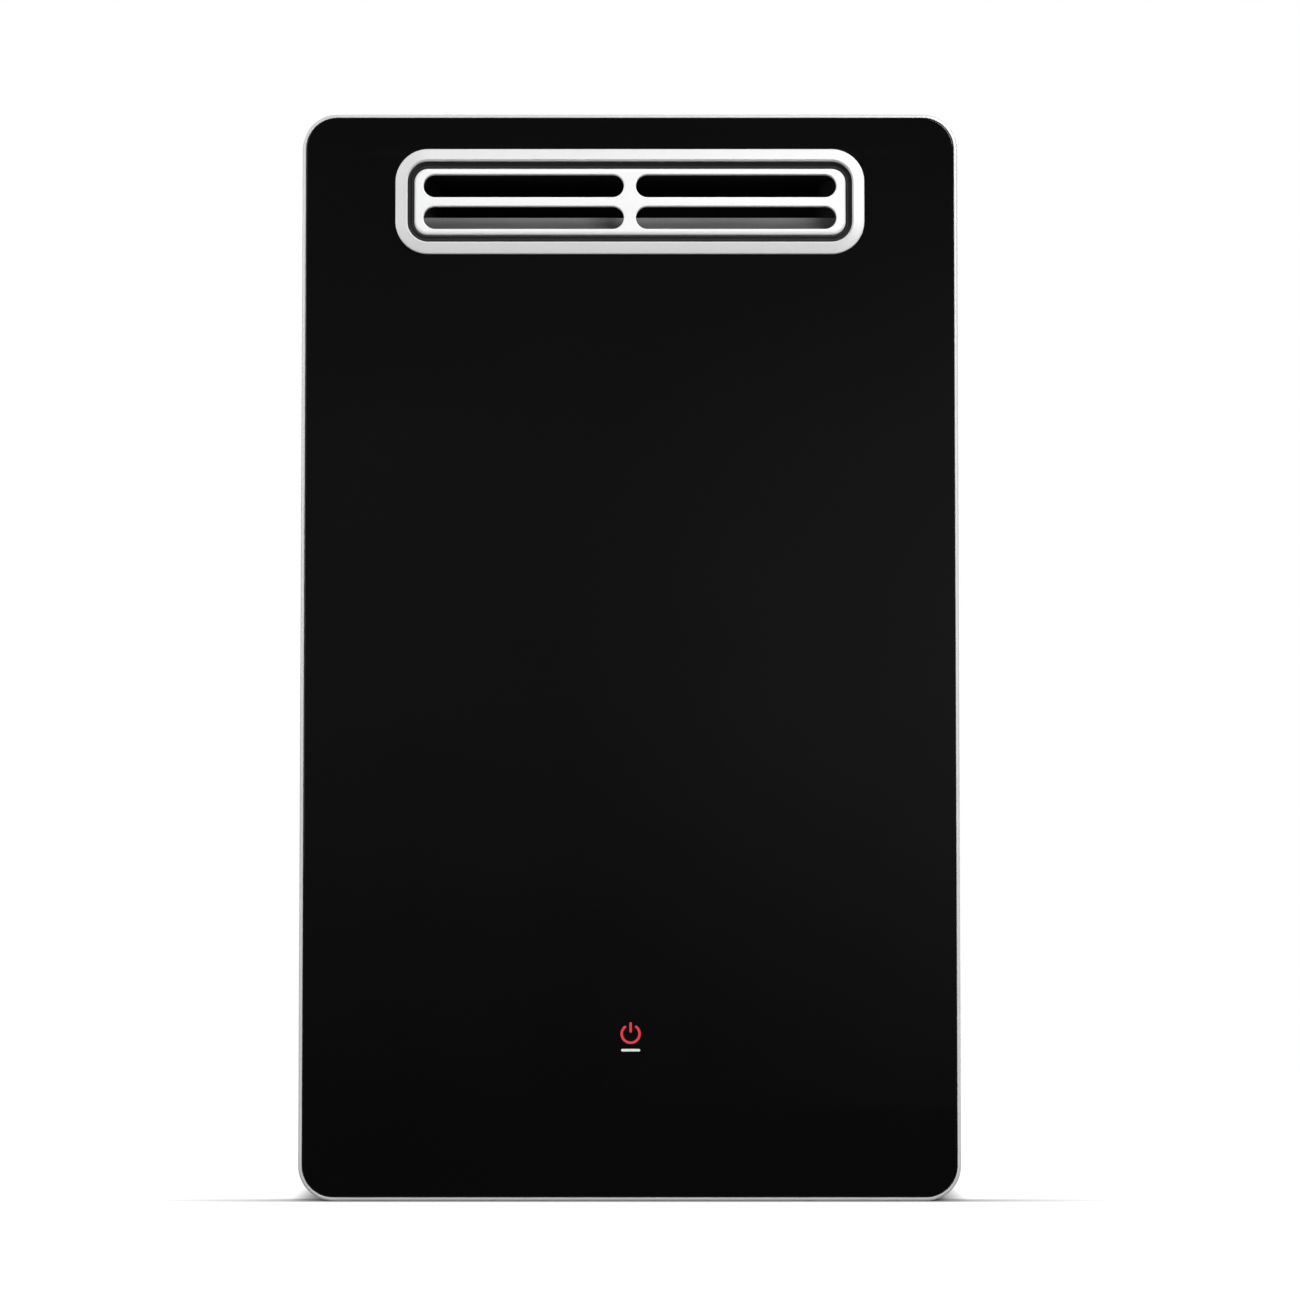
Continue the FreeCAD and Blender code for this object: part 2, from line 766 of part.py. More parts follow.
def flow_sensor_body():
    """Short pipe body of the flow sensor, with a bar across its bore under and over the rotor."""
    base = Vector(port_offset, cold_y, z_block)
    body = polygon_bar(8, sensor_width, sensor_length, base).cut(rod(sensor_bore, sensor_length, base))
    half, seat = sensor_bar / 2, rotor_spindle_radius + running_gap
    reach = (sensor_bore + sensor_width / 2) / 2
    for z in (z_rotor_low - sensor_bar, z_rotor_high):
        bar = box(port_offset - reach, port_offset + reach, cold_y - half, cold_y + half, z,
                  z + sensor_bar)
        body = body.fuse(bar).cut(box(port_offset - seat, port_offset + seat, cold_y - seat,
                                      cold_y + seat, z, z + sensor_bar))
    return body.removeSplitter()


def flow_rotor():
    """Rotor with four vanes on a spindle, turned by the swirling water."""
    base = Vector(port_offset, cold_y, z_rotor_low - rotor_spindle_end)
    length = z_rotor_high - z_rotor_low + 2 * rotor_spindle_end
    pieces = [rod(rotor_spindle_radius, length, base)]
    for k in range(4):
        vane = box(0, rotor_radius - rotor_blade, -rotor_blade / 2, rotor_blade / 2,
                   -rotor_vane_height / 2, rotor_vane_height / 2)
        vane.rotate(Vector(0, 0, 0), UP, 90 * k)
        vane.translate(base + UP * length / 2)
        pieces.append(vane)
    return fused(pieces)


def flow_pickup():
    """Magnetic pickup on the outside of the flow sensor."""
    x0 = port_offset + sensor_width / 2
    z0 = (z_block + z_sensor - pickup_height) / 2
    return box(x0, x0 + pickup_depth, cold_y - pickup_width / 2, cold_y + pickup_width / 2, z0,
               z0 + pickup_height)


def water_valve_body():
    """Block of the water valve: a square way up through it and a hole in front for the stem."""
    half, way = water_valve_size / 2, water_way / 2
    block = box(port_offset - half, port_offset + half, cold_y - half, cold_y + half, z_sensor,
                z_water_valve)
    uprights = [e for e in block.Edges if e.BoundBox.ZLength > water_valve_edge]
    block = block.makeChamfer(water_valve_edge, uprights)
    return block.cut([
        box(port_offset - way, port_offset + way, cold_y - way, cold_y + way, z_sensor, z_water_valve),
        rod(flap_stem_radius + running_gap, half, Vector(port_offset, cold_y - half, z_valve_axis),
            REAR),
    ])


def water_valve_flap():
    """Square flap that throttles the water way, on the stem that the motor turns."""
    front, half = cold_y - water_valve_size / 2, water_way / 2 - flap_gap
    stem = rod(flap_stem_radius, flap_stem + water_valve_size / 2 + half,
               Vector(port_offset, front - flap_stem, z_valve_axis), REAR)
    flap = box(port_offset - flap_thickness / 2, port_offset + flap_thickness / 2, cold_y - half,
               cold_y + half,
               z_valve_axis - half, z_valve_axis + half)
    return stem.fuse(flap)


def water_valve_motor():
    """Stepper motor on the front of the water valve."""
    half = stepper_size / 2
    front = cold_y - water_valve_size / 2
    motor = box(port_offset - half, port_offset + half, front - stepper_length, front,
                z_valve_axis - half, z_valve_axis + half)
    return motor.cut(rod(flap_stem_radius + running_gap, flap_stem + end_gap,
                         Vector(port_offset, front, z_valve_axis), FRONT))


def pipe(radius, x, y, z0, z1):
    """Straight upright pipe, drawn without its bore because both ends are closed by other pieces."""
    return rod(radius, z1 - z0, Vector(x, y, z0))


# Gas side: valve, plungers, coils, pipe, manifold and nozzles


def gas_valve_body():
    """Die-cast gas valve with its threaded inlet down through the bottom plate."""
    half_x, half_y = valve_width / 2, valve_depth / 2
    pieces = [
        nipple(gas_x, gas_y),
        polygon_bar(8, valve_boss_width, valve_boss_height, Vector(gas_x, gas_y, z_floor)),
        box(gas_x - half_x, gas_x + half_x, gas_y - half_y, gas_y + half_y, z_valve, z_valve_top),
    ]
    return fused(pieces).cut(rod(port_bore, z_valve - thread_end, Vector(gas_x, gas_y, thread_end)))


def valve_coils():
    """Two moulded solenoid coils on top of the gas valve, bored for their plungers."""
    half = coil_width / 2
    coils = []
    for x in plunger_rows:
        coil = box(x - half, x + half, gas_y - half, gas_y + half, z_valve_top,
                   z_valve_top + coil_bore + coil_cap)
        coils.append(coil.cut(polygon_bar(plunger_sides, 2 * (plunger_radius + running_gap), coil_bore,
                                          Vector(x, gas_y, z_valve_top))))
    return Part.makeCompound(coils)


def plunger(x):
    """Iron core that its coil lifts off the valve seat."""
    return polygon_bar(plunger_sides, 2 * plunger_radius, plunger_length, Vector(x, gas_y, z_valve_top))


def gas_manifold():
    """Bar across the front of the burner, with a foot at each end."""
    half, rear = column_width / 2, manifold_front + manifold_depth
    z0, z1 = z_manifold - manifold_height / 2, z_manifold + manifold_height / 2
    bar = box(-half, half, manifold_front, rear, z0, z1)
    bar = bar.makeChamfer(manifold_edge, [e for e in bar.Edges if e.BoundBox.XLength > manifold_height])
    z0, z1 = z0 + manifold_edge, z1 - manifold_edge
    feet = [box(x, x + manifold_end, rear - manifold_edge, y_column_front, z0, z1)
            for x in (-half, half - manifold_end)]
    return fused([bar] + feet)


def gas_nozzles():
    """One hexagon nozzle for each burner bar."""
    rear = manifold_front + manifold_depth
    return Part.makeCompound([
        polygon_bar(6, nozzle_hex, manifold_gap - nozzle_gap, Vector(x, rear, z_manifold), REAR)
        for x in bar_rows
    ])


# Column: burner, chamber, exchanger and hood


def column_shell(z0, z1):
    """Thin four-sided casing of the column between two levels, open above and below."""
    half = column_width / 2
    outer = box(-half, half, y_column_front, y_column_rear, z0, z1)
    return outer.cut(box(column_sheet - half, half - column_sheet, y_column_front + column_sheet,
                         y_column_rear - column_sheet, z0 - THROUGH, z1 + THROUGH))


def burner_box():
    """Casing of the burner, closed below round the fan's outlet and slotted in front of the bars."""
    half = column_width / 2
    floor = box(-half, half, y_column_front, y_column_rear, z_burner, z_burner + column_sheet)
    outlet = box(fan_left, fan_left + fan_outlet_width, fan_front + fan_wall,
                 fan_front + fan_width - fan_wall,
                 z_burner - THROUGH, z_burner + column_sheet + THROUGH)
    reach = bar_rows[-1] + bar_thickness / 2
    window = box(-reach, reach, y_column_front - THROUGH, y_column_front + column_sheet + THROUGH,
                 z_burner + bar_lift, z_burner + bar_lift + bar_throat)
    return column_shell(z_burner, z_chamber).fuse(floor).removeSplitter().cut([outlet, window])


def burner_bars():
    """Row of pressed burner bars: a throat low at the front and a long crown of flame ports above."""
    front, rear = y_column_front + column_sheet, y_column_rear - column_sheet
    low, top = z_burner + bar_lift, z_chamber - bar_top_gap
    crown = top - bar_crown
    profile = [(front, low), (front, low + bar_throat),
               (front + bar_neck, low + bar_throat - bar_taper),
               (front + bar_neck, crown), (front, crown), (front, top), (rear, top), (rear, crown),
               (rear - bar_neck, low)]
    half = bar_thickness / 2
    return Part.makeCompound([prism_x(profile, x - half, x + half) for x in bar_rows])


def combustion_chamber():
    """Chamber casing above the burner, open in front for the electrodes and the window."""
    y0, y1 = y_column_front - THROUGH, y_column_front + column_sheet + THROUGH
    cuts = [box(x - w / 2, x + w / 2, y0, y1, z - w / 2, z + w / 2)
            for x, z, w in [(x, z_electrode, insulator_hole) for x in electrode_rows]
            + [(sight_x, z_sight, sight_opening)]]
    return column_shell(z_chamber, z_exchanger).cut(cuts)


def chamber_lining():
    """Insulating board round the inside of the chamber, with a window behind the electrodes."""
    half = column_width / 2 - column_sheet
    front, rear = y_column_front + column_sheet, y_column_rear - column_sheet
    lining = box(-half, half, front, rear, z_chamber, z_exchanger)
    inner = half - lining_thickness
    hollow = box(-inner, inner, front + lining_thickness, rear - lining_thickness, z_chamber - THROUGH,
                 z_exchanger + THROUGH)
    window = box(-lining_window_width / 2, lining_window_width / 2, front - THROUGH,
                 front + lining_thickness + THROUGH,
                 z_chamber - THROUGH, z_chamber + lining_window_height)
    return lining.cut([hollow, window])


def electrode_insulators():
    """Ceramic insulators of the two spark electrodes and the flame rod, each seated by its collar."""
    insulators = []
    for x in electrode_rows:
        base = Vector(x, y_column_front - insulator_length, z_electrode)
        insulator = fused([
            polygon_bar(6, insulator_collar, insulator_length, base, REAR),
            polygon_bar(6, insulator_width, insulator_length + insulator_inside, base, REAR),
        ])
        length = insulator_length + insulator_inside
        insulators.append(insulator.cut(polygon_bar(4, electrode_width, length, base, REAR)))
    return Part.makeCompound(insulators)


def electrode_rods():
    """Steel rods through the insulators, each with its wire tab in front."""
    length = electrode_tab + insulator_length + insulator_inside + electrode_reach
    start = y_column_front - insulator_length - electrode_tab
    return Part.makeCompound([polygon_bar(4, electrode_width, length, Vector(x, start, z_electrode),
                                          REAR) for x in electrode_rows])


def sight_pane():
    """Mica window for looking at the flame, on the front of the chamber."""
    plate, half = sight_plate / 2, sight_opening / 2 - fit_gap
    pane = box(sight_x - plate, sight_x + plate, y_column_front - sight_thickness, y_column_front,
               z_sight - plate, z_sight + plate)
    step = box(sight_x - half, sight_x + half, y_column_front, y_column_front + column_sheet,
               z_sight - half, z_sight + half)
    return pane.fuse(step)


def igniter():
    """Spark generator on the left side of the chamber."""
    x1 = -column_width / 2
    z0 = z_chamber + igniter_lift
    return box(x1 - igniter_width, x1, y_column_front, y_column_front + igniter_depth, z0,
               z0 + igniter_height)


def exchanger_tubes():
    """Straight copper tubes across the heat exchanger, from side to side."""
    half = column_width / 2 - column_sheet
    return Part.makeCompound([
        polygon_bar(tube_sides, 2 * tube_radius, 2 * half, Vector(-half, y, z_tubes), RIGHT)
        for y in tube_rows
    ])


def exchanger_fins():
    """Copper fins on the tubes, notched from above for each tube."""
    front, rear = y_column_front + column_sheet, y_column_rear - column_sheet
    z0, z1 = z_tubes - fin_height / 2, z_tubes + fin_height / 2
    fins = []
    for middle in fin_rows:
        x = middle - fin_thickness / 2
        fin = box(x, x + fin_thickness, front, rear, z0, z1)
        notches = [box(x - THROUGH, x + fin_thickness + THROUGH, y - tube_radius, y + tube_radius,
                       z_tubes - tube_radius, z1 + THROUGH)
                   for y in tube_rows]
        fins.append(fin.cut(notches))
    return Part.makeCompound(fins)


def header(side):
    """End tank on the side of the heat exchanger, with an arm that takes its water pipe from below."""
    half_z, half_arm = header_height / 2, port_arm / 2
    x0, x1 = side * column_width / 2, side * (column_width / 2 + header_depth)
    y_arm = cold_y if side > 0 else hot_y
    tank = box(min(x0, x1), max(x0, x1), tube_rows[0] - half_arm, tube_rows[-1] + half_arm,
               z_tubes - half_z, z_tubes + half_z)
    edges = [e for e in tank.Edges if abs(e.BoundBox.XMin - x1) < 1e-4 and abs(e.BoundBox.XMax
                                                                               - x1) < 1e-4]
    tank = tank.makeChamfer(header_edge, edges)
    x2 = side * (port_offset + half_arm)
    arm = box(min(x0, x2), max(x0, x2), y_arm - half_arm, y_arm + half_arm, z_tubes - half_arm,
              z_tubes + half_arm)
    return fused([tank, arm])


def hood_form(shrink):
    """The flue hood as a solid: up from the exchanger and out through a wider throat in front."""
    half, half_throat = column_width / 2 - shrink, throat_width / 2 - shrink
    low, high = z_grille - throat_height / 2 + shrink, z_grille + throat_height / 2 - shrink
    front, rear = y_column_front + shrink, y_column_rear - shrink
    mouth = y_throat - (THROUGH if shrink else 0)
    bottom = z_hood - (THROUGH if shrink else 0)
    body = prism_x([(front, bottom), (front, high), (rear - hood_slope, high),
                    (rear, z_hood + hood_neck), (rear, bottom)],
                   -half, half)
    throat = prism_z([(-half_throat, mouth), (half_throat, mouth), (half_throat, y_flare),
                      (half, y_flare + hood_flare),
                      (-half, y_flare + hood_flare), (-half_throat, y_flare)], low, high)
    return fused([body, throat])


def flue_hood():
    """Sheet hood that turns the flue gas forwards to the outlet."""
    return hood_form(0).cut(hood_form(column_sheet))


def flue_baffle():
    """Folded plate inside the throat that keeps rain out of the hood."""
    half = throat_width / 2
    low = z_grille - throat_height / 2 + column_sheet
    y0, rise = y_throat + baffle_setback, baffle_rise
    t = baffle_sheet
    profile = [(y0, low), (y0 + baffle_run, low + rise), (y0 + baffle_run + baffle_shelf, low + rise),
               (y0 + baffle_run + baffle_shelf, low + rise - t),
               (y0 + baffle_run + t / 2, low + rise - t), (y0 + 1.5 * t, low)]
    return prism_x(profile, -half, half).common(hood_form(column_sheet))


def column_brackets():
    """Two Z-shaped rails that hold the column on the back panel."""
    half = rear_bracket_width / 2
    t, f = rear_bracket_sheet, rear_bracket_flange
    rails = []
    for z in (z_burner + rear_bracket_lift, z_exchanger - rear_bracket_lift):
        profile = [(y_column_rear, z), (y_column_rear, z + f), (y_column_rear + t, z + f),
                   (y_column_rear + t, z + t),
                   (y_back_in, z + t), (y_back_in, z + t - f), (y_back_in - t, z + t - f),
                   (y_back_in - t, z)]
        rails.append(prism_x(profile, -half, half))
    return Part.makeCompound(rails)


# Fan


def volute_outline(grow, y):
    """Spiral of three quarter arcs with an upright outlet, as a closed wire in the plane at y."""
    step, top = volute_step, z_burner
    radius = impeller_radius + impeller_gap + step / 2 + grow
    cx, cz = fan_x + step / 2, z_fan - step / 2
    edges, last, first = [], None, None
    for k, (x, z) in enumerate([(cx, cz), (cx - step, cz), (cx - step, cz + step)]):
        r = radius + k * step
        turns = [math.radians(90 - 90 * k - d) for d in (0, 45, 90)]
        start, middle, last = (Vector(x + r * math.cos(t), y, z + r * math.sin(t)) for t in turns)
        edges.append(Part.Arc(start, middle, last).toShape())
        first = first or start
    left, right = last.x, fan_left + fan_outlet_width + grow
    corners = [last, Vector(left, y, top), Vector(right, y, top), Vector(right, y, first.z), first]
    return Part.Wire(edges + [Part.makeLine(a, b) for a, b in zip(corners, corners[1:])])


def fan_housing():
    """Scroll housing with a round inlet in front and its outlet up into the burner."""
    y0, y1 = fan_front, fan_front + fan_width
    outer = Part.Face(volute_outline(fan_wall, y0)).extrude(Vector(0, y1 - y0, 0))
    inner = Part.Face(volute_outline(0, y0 + fan_wall)).extrude(Vector(0, y1 - y0 - 2 * fan_wall, 0))
    rim, right = fan_outlet_flange, fan_left + fan_outlet_width
    flange = box(fan_left - rim, right + rim, y0 - rim, y1 + rim, z_burner - fan_wall, z_burner)
    outlet = box(fan_left, right, y0 + fan_wall, y1 - fan_wall, z_burner - 2 * fan_wall,
                 z_burner + THROUGH)
    inlet = rod(fan_inlet_radius, 2 * fan_wall, Vector(fan_x, y0 - fan_wall / 2, z_fan), REAR)
    rear = polygon_bar(8, shaft_hole_width, 3 * fan_wall, Vector(fan_x, y1 - 2 * fan_wall, z_fan), REAR)
    return fused([outer, flange]).cut([inner, outlet, inlet, rear])


def fan_blade():
    """One forward-leaning blade across the impeller, bent along its middle, at the top of the wheel."""
    inner, outer = impeller_radius - blade_depth, impeller_radius - blade_edge
    middle, t = (inner + outer) / 2, blade_thickness
    outline = [(0, inner), (blade_lean / 2 - blade_bow, middle), (blade_lean, outer),
               (blade_lean + t, outer), (blade_lean / 2 - blade_bow + t, middle), (t, inner)]
    return prism_y(outline, 0, impeller_width - impeller_disc - impeller_ring)


def fan_impeller():
    """Wheel of forward-curved blades between a front ring and a rear disc with its hub."""
    front, rear = y_impeller, y_impeller + impeller_width
    centre = Vector(fan_x, 0, z_fan)
    sides = 2 * blade_count
    disc = polygon_bar(sides, 2 * impeller_radius, impeller_disc,
                       centre + REAR * (rear - impeller_disc), REAR)
    hub = polygon_bar(8, hub_width, hub_length, centre + REAR * (rear - hub_length), REAR)
    ring = polygon_bar(sides, 2 * impeller_radius, impeller_ring, centre + REAR * front, REAR)
    ring = ring.cut(polygon_bar(sides, 2 * (impeller_radius - blade_depth), impeller_ring,
                                centre + REAR * front, REAR))
    blades = []
    for k in range(blade_count):
        blade = fan_blade()
        blade.rotate(Vector(0, 0, 0), REAR, 360 * k / blade_count)
        blade.translate(centre + REAR * (front + impeller_ring))
        blades.append(blade)
    wheel = disc.fuse([hub, ring] + blades)
    return wheel.cut(rod(shaft_radius, hub_length, centre + REAR * (rear - hub_length), REAR))


def fan_shaft():
    """Motor shaft that carries the impeller."""
    start = y_impeller + impeller_width - hub_length
    return rod(shaft_radius, y_motor + shaft_in_motor - start, Vector(fan_x, start, z_fan), REAR)


def fan_motor():
    """Brushless motor on the back of the fan housing."""
    half = motor_width / 2
    body = box(fan_x - half, fan_x + half, y_motor, y_motor + motor_length, z_fan - half, z_fan + half)
    body = body.makeChamfer(motor_edge, [e for e in body.Edges if e.BoundBox.YLength > motor_edge])
    return body.cut(rod(shaft_radius + running_gap, shaft_in_motor + end_gap,
                        Vector(fan_x, y_motor, z_fan), REAR))


# Electrical parts


def power_supply():
    """Potted power supply on the bottom plate."""
    x1, y0 = port_offset - supply_gap, y_plate_front + supply_setback
    top = z_floor + supply_height
    block = box(x1 - supply_width, x1, y0, y0 + supply_depth, z_floor, top)
    return block.makeChamfer(supply_edge, [e for e in block.Edges if abs(e.BoundBox.ZMin - top) < 1e-4])


def control_case():
    """Open plastic box of the control unit, stepped inside to carry its board."""
    x0, x1 = control_left, control_left + control_width
    y0, y1 = control_front + control_wall, control_front + control_depth
    z0, z1 = control_bottom, control_bottom + control_height
    w, s = control_wall, control_wall + control_step
    y_board = control_front + board_sink
    z_mid, half_lug = (z0 + z1) / 2, control_lug / 2
    lugs = [box(column_width / 2, x0, y1 - control_lug, y1, z - half_lug, z + half_lug)
            for z in (z_mid - control_lug_spacing / 2, z_mid + control_lug_spacing / 2)]
    return fused([box(x0, x1, y0, y1, z0, z1)] + lugs).cut([
        box(x0 + w, x1 - w, y0 - THROUGH, y_board, z0 + w, z1 - w),
        box(x0 + s, x1 - s, y0 - THROUGH, y1 - w, z0 + s, z1 - s),
    ])


def control_lid():
    """Lid of the control unit."""
    return box(control_left, control_left + control_width, control_front, control_front + control_wall,
               control_bottom, control_bottom + control_height)


def control_board():
    """Circuit board of the control unit."""
    w, y1 = control_wall + fit_gap, control_front + board_sink
    return box(control_left + w, control_left + control_width - w, y1 - board_thickness, y1,
               control_bottom + w, control_bottom + control_height - w)


PARTS = {
    "front_cover": front_cover,
    "front_frame": front_frame,
    "glass_panel": glass_panel,
    "glass_tape": glass_tape,
    "exhaust_bezel": exhaust_bezel,
    "exhaust_grille": exhaust_grille,
    "grille_seal": grille_seal,
    "touch_board": touch_board,
    "touch_case": touch_case,
    "back_panel": back_panel,
    "bottom_plate": bottom_plate,
    "bottom_seal": bottom_seal,
    "upper_wall_bracket": upper_wall_bracket,
    "lower_wall_bracket": lower_wall_bracket,
    "cold_water_inlet": lambda: water_body(port_offset, cold_y, cold_branch_y),
    "hot_water_outlet": lambda: water_body(-port_offset, hot_y, hot_branch_y),
    "inlet_filter_plug": inlet_filter_plug,
    "relief_valve": relief_valve,
    "relief_lever": relief_lever,
    "flow_sensor_body": flow_sensor_body,
    "flow_rotor": flow_rotor,
    "flow_pickup": flow_pickup,
    "water_valve_body": water_valve_body,
    "water_valve_flap": water_valve_flap,
    "water_valve_motor": water_valve_motor,
    "cold_water_pipe": lambda: pipe(pipe_radius, port_offset, cold_y, z_water_valve, z_arm),
    "hot_water_pipe": lambda: pipe(pipe_radius, -port_offset, hot_y, z_block, z_arm),
    "gas_valve_body": gas_valve_body,
    "valve_coils": valve_coils,
    "safety_plunger": lambda: plunger(plunger_rows[0]),
    "modulating_plunger": lambda: plunger(plunger_rows[1]),
    "gas_pipe": lambda: pipe(gas_pipe_radius, gas_x, gas_pipe_y, z_valve_top,
                             z_manifold - manifold_height / 2),
    "gas_manifold": gas_manifold,
    "gas_nozzles": gas_nozzles,
    "burner_box": burner_box,
    "burner_bars": burner_bars,
    "combustion_chamber": combustion_chamber,
    "chamber_lining": chamber_lining,
    "electrode_insulators": electrode_insulators,
    "electrode_rods": electrode_rods,
    "sight_pane": sight_pane,
    "igniter": igniter,
    "exchanger_shell": lambda: column_shell(z_exchanger, z_hood),
    "exchanger_tubes": exchanger_tubes,
    "exchanger_fins": exchanger_fins,
    "exchanger_headers": lambda: Part.makeCompound([header(side) for side in (-1, 1)]),
    "flue_hood": flue_hood,
    "flue_baffle": flue_baffle,
    "column_brackets": column_brackets,
    "fan_housing": fan_housing,
    "fan_impeller": fan_impeller,
    "fan_shaft": fan_shaft,
    "fan_motor": fan_motor,
    "power_supply": power_supply,
    "control_case": control_case,
    "control_lid": control_lid,
    "control_board": control_board,
}

os.makedirs("parts", exist_ok=True)
for name, make in PARTS.items():
    shape = make()
    shape.exportStep("parts/" + name + ".step")
    print(name, len(shape.Solids), "solid" if len(shape.Solids) == 1 else "solids")
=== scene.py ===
# %% [markdown]
# # A water heater with a black glass front
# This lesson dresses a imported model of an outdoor, fan-vented gas water heater. The model is a fixed frame:
# every solid has its place already, so nothing is moved or scaled. A solid whose shape is good gets a
# finish. One that is too plain is hidden, and a finer piece stands for it.

import json
import math

import bmesh
import bpy
from mathutils import Matrix, Vector
from mathutils.geometry import tessellate_polygon


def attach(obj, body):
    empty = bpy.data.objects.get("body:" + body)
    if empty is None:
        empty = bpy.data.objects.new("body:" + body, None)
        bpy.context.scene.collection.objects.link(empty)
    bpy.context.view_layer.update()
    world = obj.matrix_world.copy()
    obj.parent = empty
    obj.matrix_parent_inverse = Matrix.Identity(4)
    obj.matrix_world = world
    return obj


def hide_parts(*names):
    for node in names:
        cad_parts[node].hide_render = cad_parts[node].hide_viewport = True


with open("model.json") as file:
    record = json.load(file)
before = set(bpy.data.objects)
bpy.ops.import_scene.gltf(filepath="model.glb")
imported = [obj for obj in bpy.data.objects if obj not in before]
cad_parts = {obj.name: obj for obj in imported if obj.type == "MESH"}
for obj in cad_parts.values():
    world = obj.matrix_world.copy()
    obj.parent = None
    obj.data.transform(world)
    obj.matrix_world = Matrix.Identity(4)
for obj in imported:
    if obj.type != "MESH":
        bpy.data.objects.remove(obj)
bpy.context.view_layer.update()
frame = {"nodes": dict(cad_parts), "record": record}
nodes = frame["nodes"]
slot_of = {part["node"]: part["material_slot"] for part in frame["record"]["subparts"]}

# %% [markdown]
# ## Camera
# A plain product shot: the camera looks at the glass from 2.6 m away and from a little above the heater's
# feet, tipped up a few degrees. Its distance and focal length came from fitting the corners of the case in
# the picture. From so low we look up into the exhaust slots, so the lower pair shows the baffle behind
# them.

# %% Set up the camera
FOCAL_PIXELS, PICTURE_PIXELS = 4391.0, 1300.0
TIPPED_UP = 3.269
scene = bpy.context.scene
camera_sheet = bpy.data.cameras.new("camera")
camera_sheet.sensor_width = 36.0
camera_sheet.lens = FOCAL_PIXELS / PICTURE_PIXELS * camera_sheet.sensor_width
camera_sheet.clip_end = 50.0
camera = bpy.data.objects.new("camera", camera_sheet)
camera.location = (0.0121, -2.701, 0.1778)
camera.rotation_euler = (math.radians(90.0 + TIPPED_UP), 0.0, 0.0)
scene.collection.objects.link(camera)
scene.camera = camera
print("lens:", round(camera_sheet.lens, 1), "mm")

# %% [markdown]
# ## Small tools for solids
# Most pieces are made as a workshop makes them: a section is swept round the outline of the case, a profile
# is turned on a lathe, or a plate gets rounded edges and holes. All of these are stacks of closed loops
# with a skin of four-sided faces between neighbours. Sizes are in millimetres, as on a drawing, and
# `make_piece` turns them into metres at the end.

# %% Loops
MM = 0.001
LEAST_CORNER = 0.02


def rounded_loop(width, height, corner, y, x=0.0, z=0.0, steps=10):
    """Points round a rectangle with rounded corners, in the upright plane at y."""
    points = []
    corner = max(corner, LEAST_CORNER)
    for quarter, (side_x, side_z) in enumerate(((1, 1), (-1, 1), (-1, -1), (1, -1))):
        middle_x = x + side_x * (width / 2 - corner)
        middle_z = z + side_z * (height / 2 - corner)
        for step in range(steps + 1):
            turn = math.radians(90.0 * (quarter + step / steps))
            points.append((middle_x + corner * math.cos(turn), y, middle_z + corner * math.sin(turn)))
    return points


def drawn_in(size, inset, y, x=0.0, z=0.0, steps=10):
    """A rounded rectangle (width, height, corner) whose outline is drawn in. Below zero it grows."""
    width, height, corner = size
    return rounded_loop(width - 2 * inset, height - 2 * inset, corner - inset, y, x, z, steps)


def laid(loop, z):
    """An upright loop laid flat at a height: its height becomes its depth."""
    return [(x, depth, z) for x, _, depth in loop]


def quarter_round(radius, steps=5):
    """Steps (inset, depth) of a rounded edge, from the face to the side."""
    turns = [math.radians(90.0 * k / steps) for k in range(steps + 1)]
    return [(radius * (1 - math.sin(t)), radius * (1 - math.cos(t))) for t in turns]


def four_corners(x, z, half_x, half_z):
    """The corners of a rectangle round x, z."""
    return [(x + side_x * half_x, z + side_z * half_z) for side_x in (-1, 1) for side_z in (-1, 1)]


print("a loop has", len(rounded_loop(100, 50, 8, 0)), "points")

# %% [markdown]
# ## Skins and plates with holes
# Each part is a list of points and a list of faces, so parts are easy to join before any mesh exists. A
# stack with flat ends is a solid. A plate with holes has a stack for its outline and one for each hole.

# %% Parts


def skin(loops, joined_ends=False):
    """Four-sided faces between loops of equal length. With joined_ends the last loop meets the first."""
    count = len(loops[0])
    points = [point for loop in loops for point in loop]
    faces = []
    pairs = len(loops) if joined_ends else len(loops) - 1
    for row in range(pairs):
        low, high = row * count, (row + 1) % len(loops) * count
        for k in range(count):
            after = (k + 1) % count
            faces.append((low + k, low + after, high + after, high + k))
    return points, faces


def filled(outline, holes=()):
    """A flat face inside an outline, with holes."""
    rings = [[Vector(p) for p in ring] for ring in (outline, *holes)]
    points = [tuple(p) for ring in rings for p in ring]
    return points, [tuple(face) for face in tessellate_polygon(rings)]


def merged(*parts):
    """Several parts as one list of points and faces."""
    points, faces = [], []
    for part_points, part_faces in parts:
        start = len(points)
        points.extend(part_points)
        faces.extend(tuple(start + k for k in face) for face in part_faces)
    return points, faces


def closed(loops):
    """A solid: the skin of a stack and its two flat ends."""
    return merged(skin(loops), filled(loops[0]), filled(loops[-1]))


def pierced(outline, holes):
    """A plate from the stack of its outline and the stack of each hole."""
    ends = [filled(outline[end], [hole[end] for hole in holes]) for end in (0, -1)]
    return merged(skin(outline), *[skin(hole) for hole in holes], *ends)


print("a solid between two loops has", len(closed([rounded_loop(9, 9, 1, y) for y in (0, 5)])[1]), "faces")

# %% [markdown]
# ## From points to a mesh
# The seams between parts are welded and the faces turned outwards. Folded sheet is drawn as a single skin,
# as it looks from outside. Its folds can get a bend radius, and the solidify modifier then gives it its
# thickness, towards a point inside, and closes its cut edges.

# %% Mesh tools
SAME_POINT = 2e-6
LEAST_FOLD = 0.25


